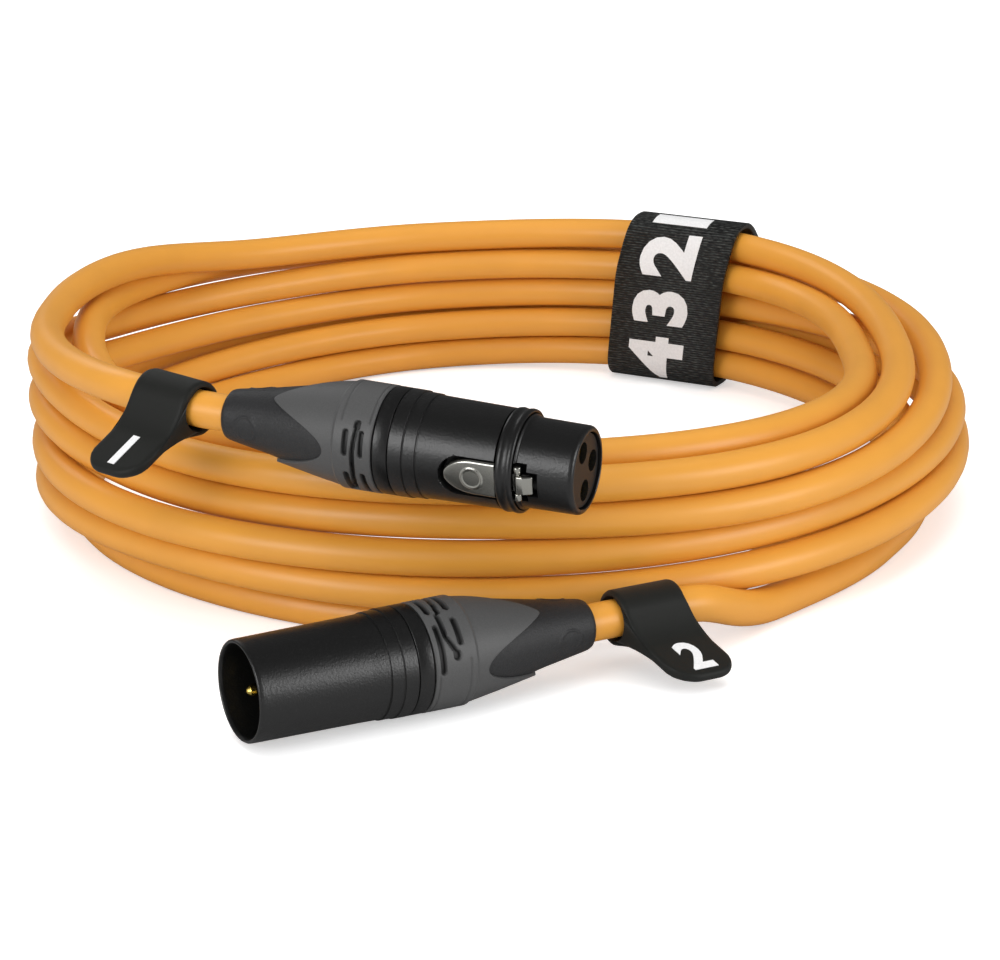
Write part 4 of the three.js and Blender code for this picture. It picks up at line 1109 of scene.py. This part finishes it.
def set_camera(scene, settings):
    """A camera that looks at the ring's middle from the distance and elevation given."""
    e = math.radians(settings.elevation)
    target = COIL_CENTRE + np.array([0, 0, 0.5 * MM])
    camera_data = bpy.data.cameras.new("camera")
    camera_data.sensor_width, camera_data.lens = 36.0, settings.lens
    camera_data.clip_start, camera_data.clip_end = 0.01, 20
    scene.camera = linked("camera", camera_data)
    scene.camera.location = target + settings.distance * np.array([0, -math.cos(e), math.sin(e)])
    scene.camera.rotation_euler = (math.pi / 2 - e, 0, 0)


def lay_floor(colour, half=3.0):
    """A pale table that the camera sees as white, and that keeps the shadow. Reflections
    see it at two fifths of its colour, so that it doesn't grey the black shells."""
    mesh = bpy.data.meshes.new("floor")
    corners = [(-half, -half, 0), (half, -half, 0), (half, half, 0), (-half, half, 0)]
    mesh.from_pydata(corners, [], [(0, 1, 2, 3)])
    floor = linked("floor", mesh)
    floor.location.z = -0.2 * MM
    material, tree, shader = finish("table", colour, 0.9)
    shader.inputs["Specular IOR Level"].default_value = 0.1
    rays = add(tree, "ShaderNodeLightPath")
    glow = add(tree, "ShaderNodeMath", {"operation": "MULTIPLY", 1: 0.45}, {0: (rays, "Is Camera Ray")})
    shader.inputs["Emission Color"].default_value = (1, 1, 1, 1)
    tree.links.new(glow.outputs["Value"], shader.inputs["Emission Strength"])
    shade(tree, shader, (rays, "Is Glossy Ray"), colour, scaled(colour, 0.4))
    mesh.materials.append(material)


def hang_lamps():
    """Square lamps that point at the ring, 20 mm above the table."""
    for name, (place, size, power, shines) in LAMPS.items():
        lamp_data = bpy.data.lights.new(name, "AREA")
        lamp_data.energy, lamp_data.size = power, size
        lamp = linked(name, lamp_data)
        lamp.location = np.array(place) + COIL_CENTRE
        lamp.visible_glossy = shines
        aim = COIL_CENTRE + [0, 0, 20 * MM] - np.array(lamp.location)
        lamp.rotation_euler = Vector(aim).to_track_quat("-Z", "Y").to_euler()


def light_world(scene):
    """An even white world: half strength on the object, dim in reflections, and white to
    the camera."""
    world = bpy.data.worlds.new("studio")
    scene.world = world
    world.use_nodes = True
    tree = world.node_tree
    tree.nodes.clear()
    rays = add(tree, "ShaderNodeLightPath")
    soft, dim, white = (
        add(tree, "ShaderNodeBackground", {"Color": (1, 1, 1, 1), "Strength": strength})
        for strength in (0.5, 0.12, 1.0))
    gloss = add(tree, "ShaderNodeMixShader", None, {
        0: (rays, "Is Glossy Ray"), 1: (soft, "Background"), 2: (dim, "Background")})
    mix = add(tree, "ShaderNodeMixShader", None, {
        0: (rays, "Is Camera Ray"), 1: (gloss, "Shader"), 2: (white, "Background")})
    add(tree, "ShaderNodeOutputWorld", None, {"Surface": (mix, "Shader")})


class CABLE_OT_stage(bpy.types.Operator):
    """Sets the camera, the lamps, the table and the world"""

    bl_idname = "cable_coil.stage"
    bl_label = "Stage"

    def execute(self, context):
        """Each part of the stage has its own function."""
        settings = context.scene.stage_settings
        set_camera(context.scene, settings)
        lay_floor(tuple(settings.floor_colour))
        hang_lamps()
        light_world(context.scene)
        context.scene.view_settings.view_transform = "Standard"
        return {"FINISHED"}


class CABLE_PT_panel(bpy.types.Panel):
    """Lists the steps that build the cable"""

    bl_idname = "CABLE_PT_panel"
    bl_label = "Cable coil"
    bl_space_type = "VIEW_3D"
    bl_region_type = "UI"
    bl_category = "Cable coil"

    def draw(self, context):
        for operator in OPERATORS:
            self.layout.operator(operator.bl_idname)
        for group in SETTINGS:
            values = getattr(context.scene, group)
            for name in values.__annotations__:
                self.layout.prop(values, name)


SETTINGS = {
    "cable_settings": CableSettings, "strap_settings": StrapSettings,
    "connector_settings": ConnectorSettings, "stage_settings": StageSettings,
}
OPERATORS = (CABLE_OT_cord, CABLE_OT_strap, CABLE_OT_connectors, CABLE_OT_tags, CABLE_OT_stage)


def register():
    """Registers the settings, the operators and the panel."""
    for name, group in SETTINGS.items():
        bpy.utils.register_class(group)
        setattr(bpy.types.Scene, name, bpy.props.PointerProperty(type=group))
    for operator in OPERATORS:
        bpy.utils.register_class(operator)
    bpy.utils.register_class(CABLE_PT_panel)


def unregister():
    """Undoes register, last first."""
    bpy.utils.unregister_class(CABLE_PT_panel)
    for operator in reversed(OPERATORS):
        bpy.utils.unregister_class(operator)
    for name, group in reversed(SETTINGS.items()):
        delattr(bpy.types.Scene, name)
        bpy.utils.unregister_class(group)


def main():
    register()
    bpy.ops.cable_coil.cord()
    bpy.ops.cable_coil.strap()
    bpy.ops.cable_coil.connectors()
    bpy.ops.cable_coil.tags()
    bpy.ops.cable_coil.stage()


if __name__ == "__main__":
    main()
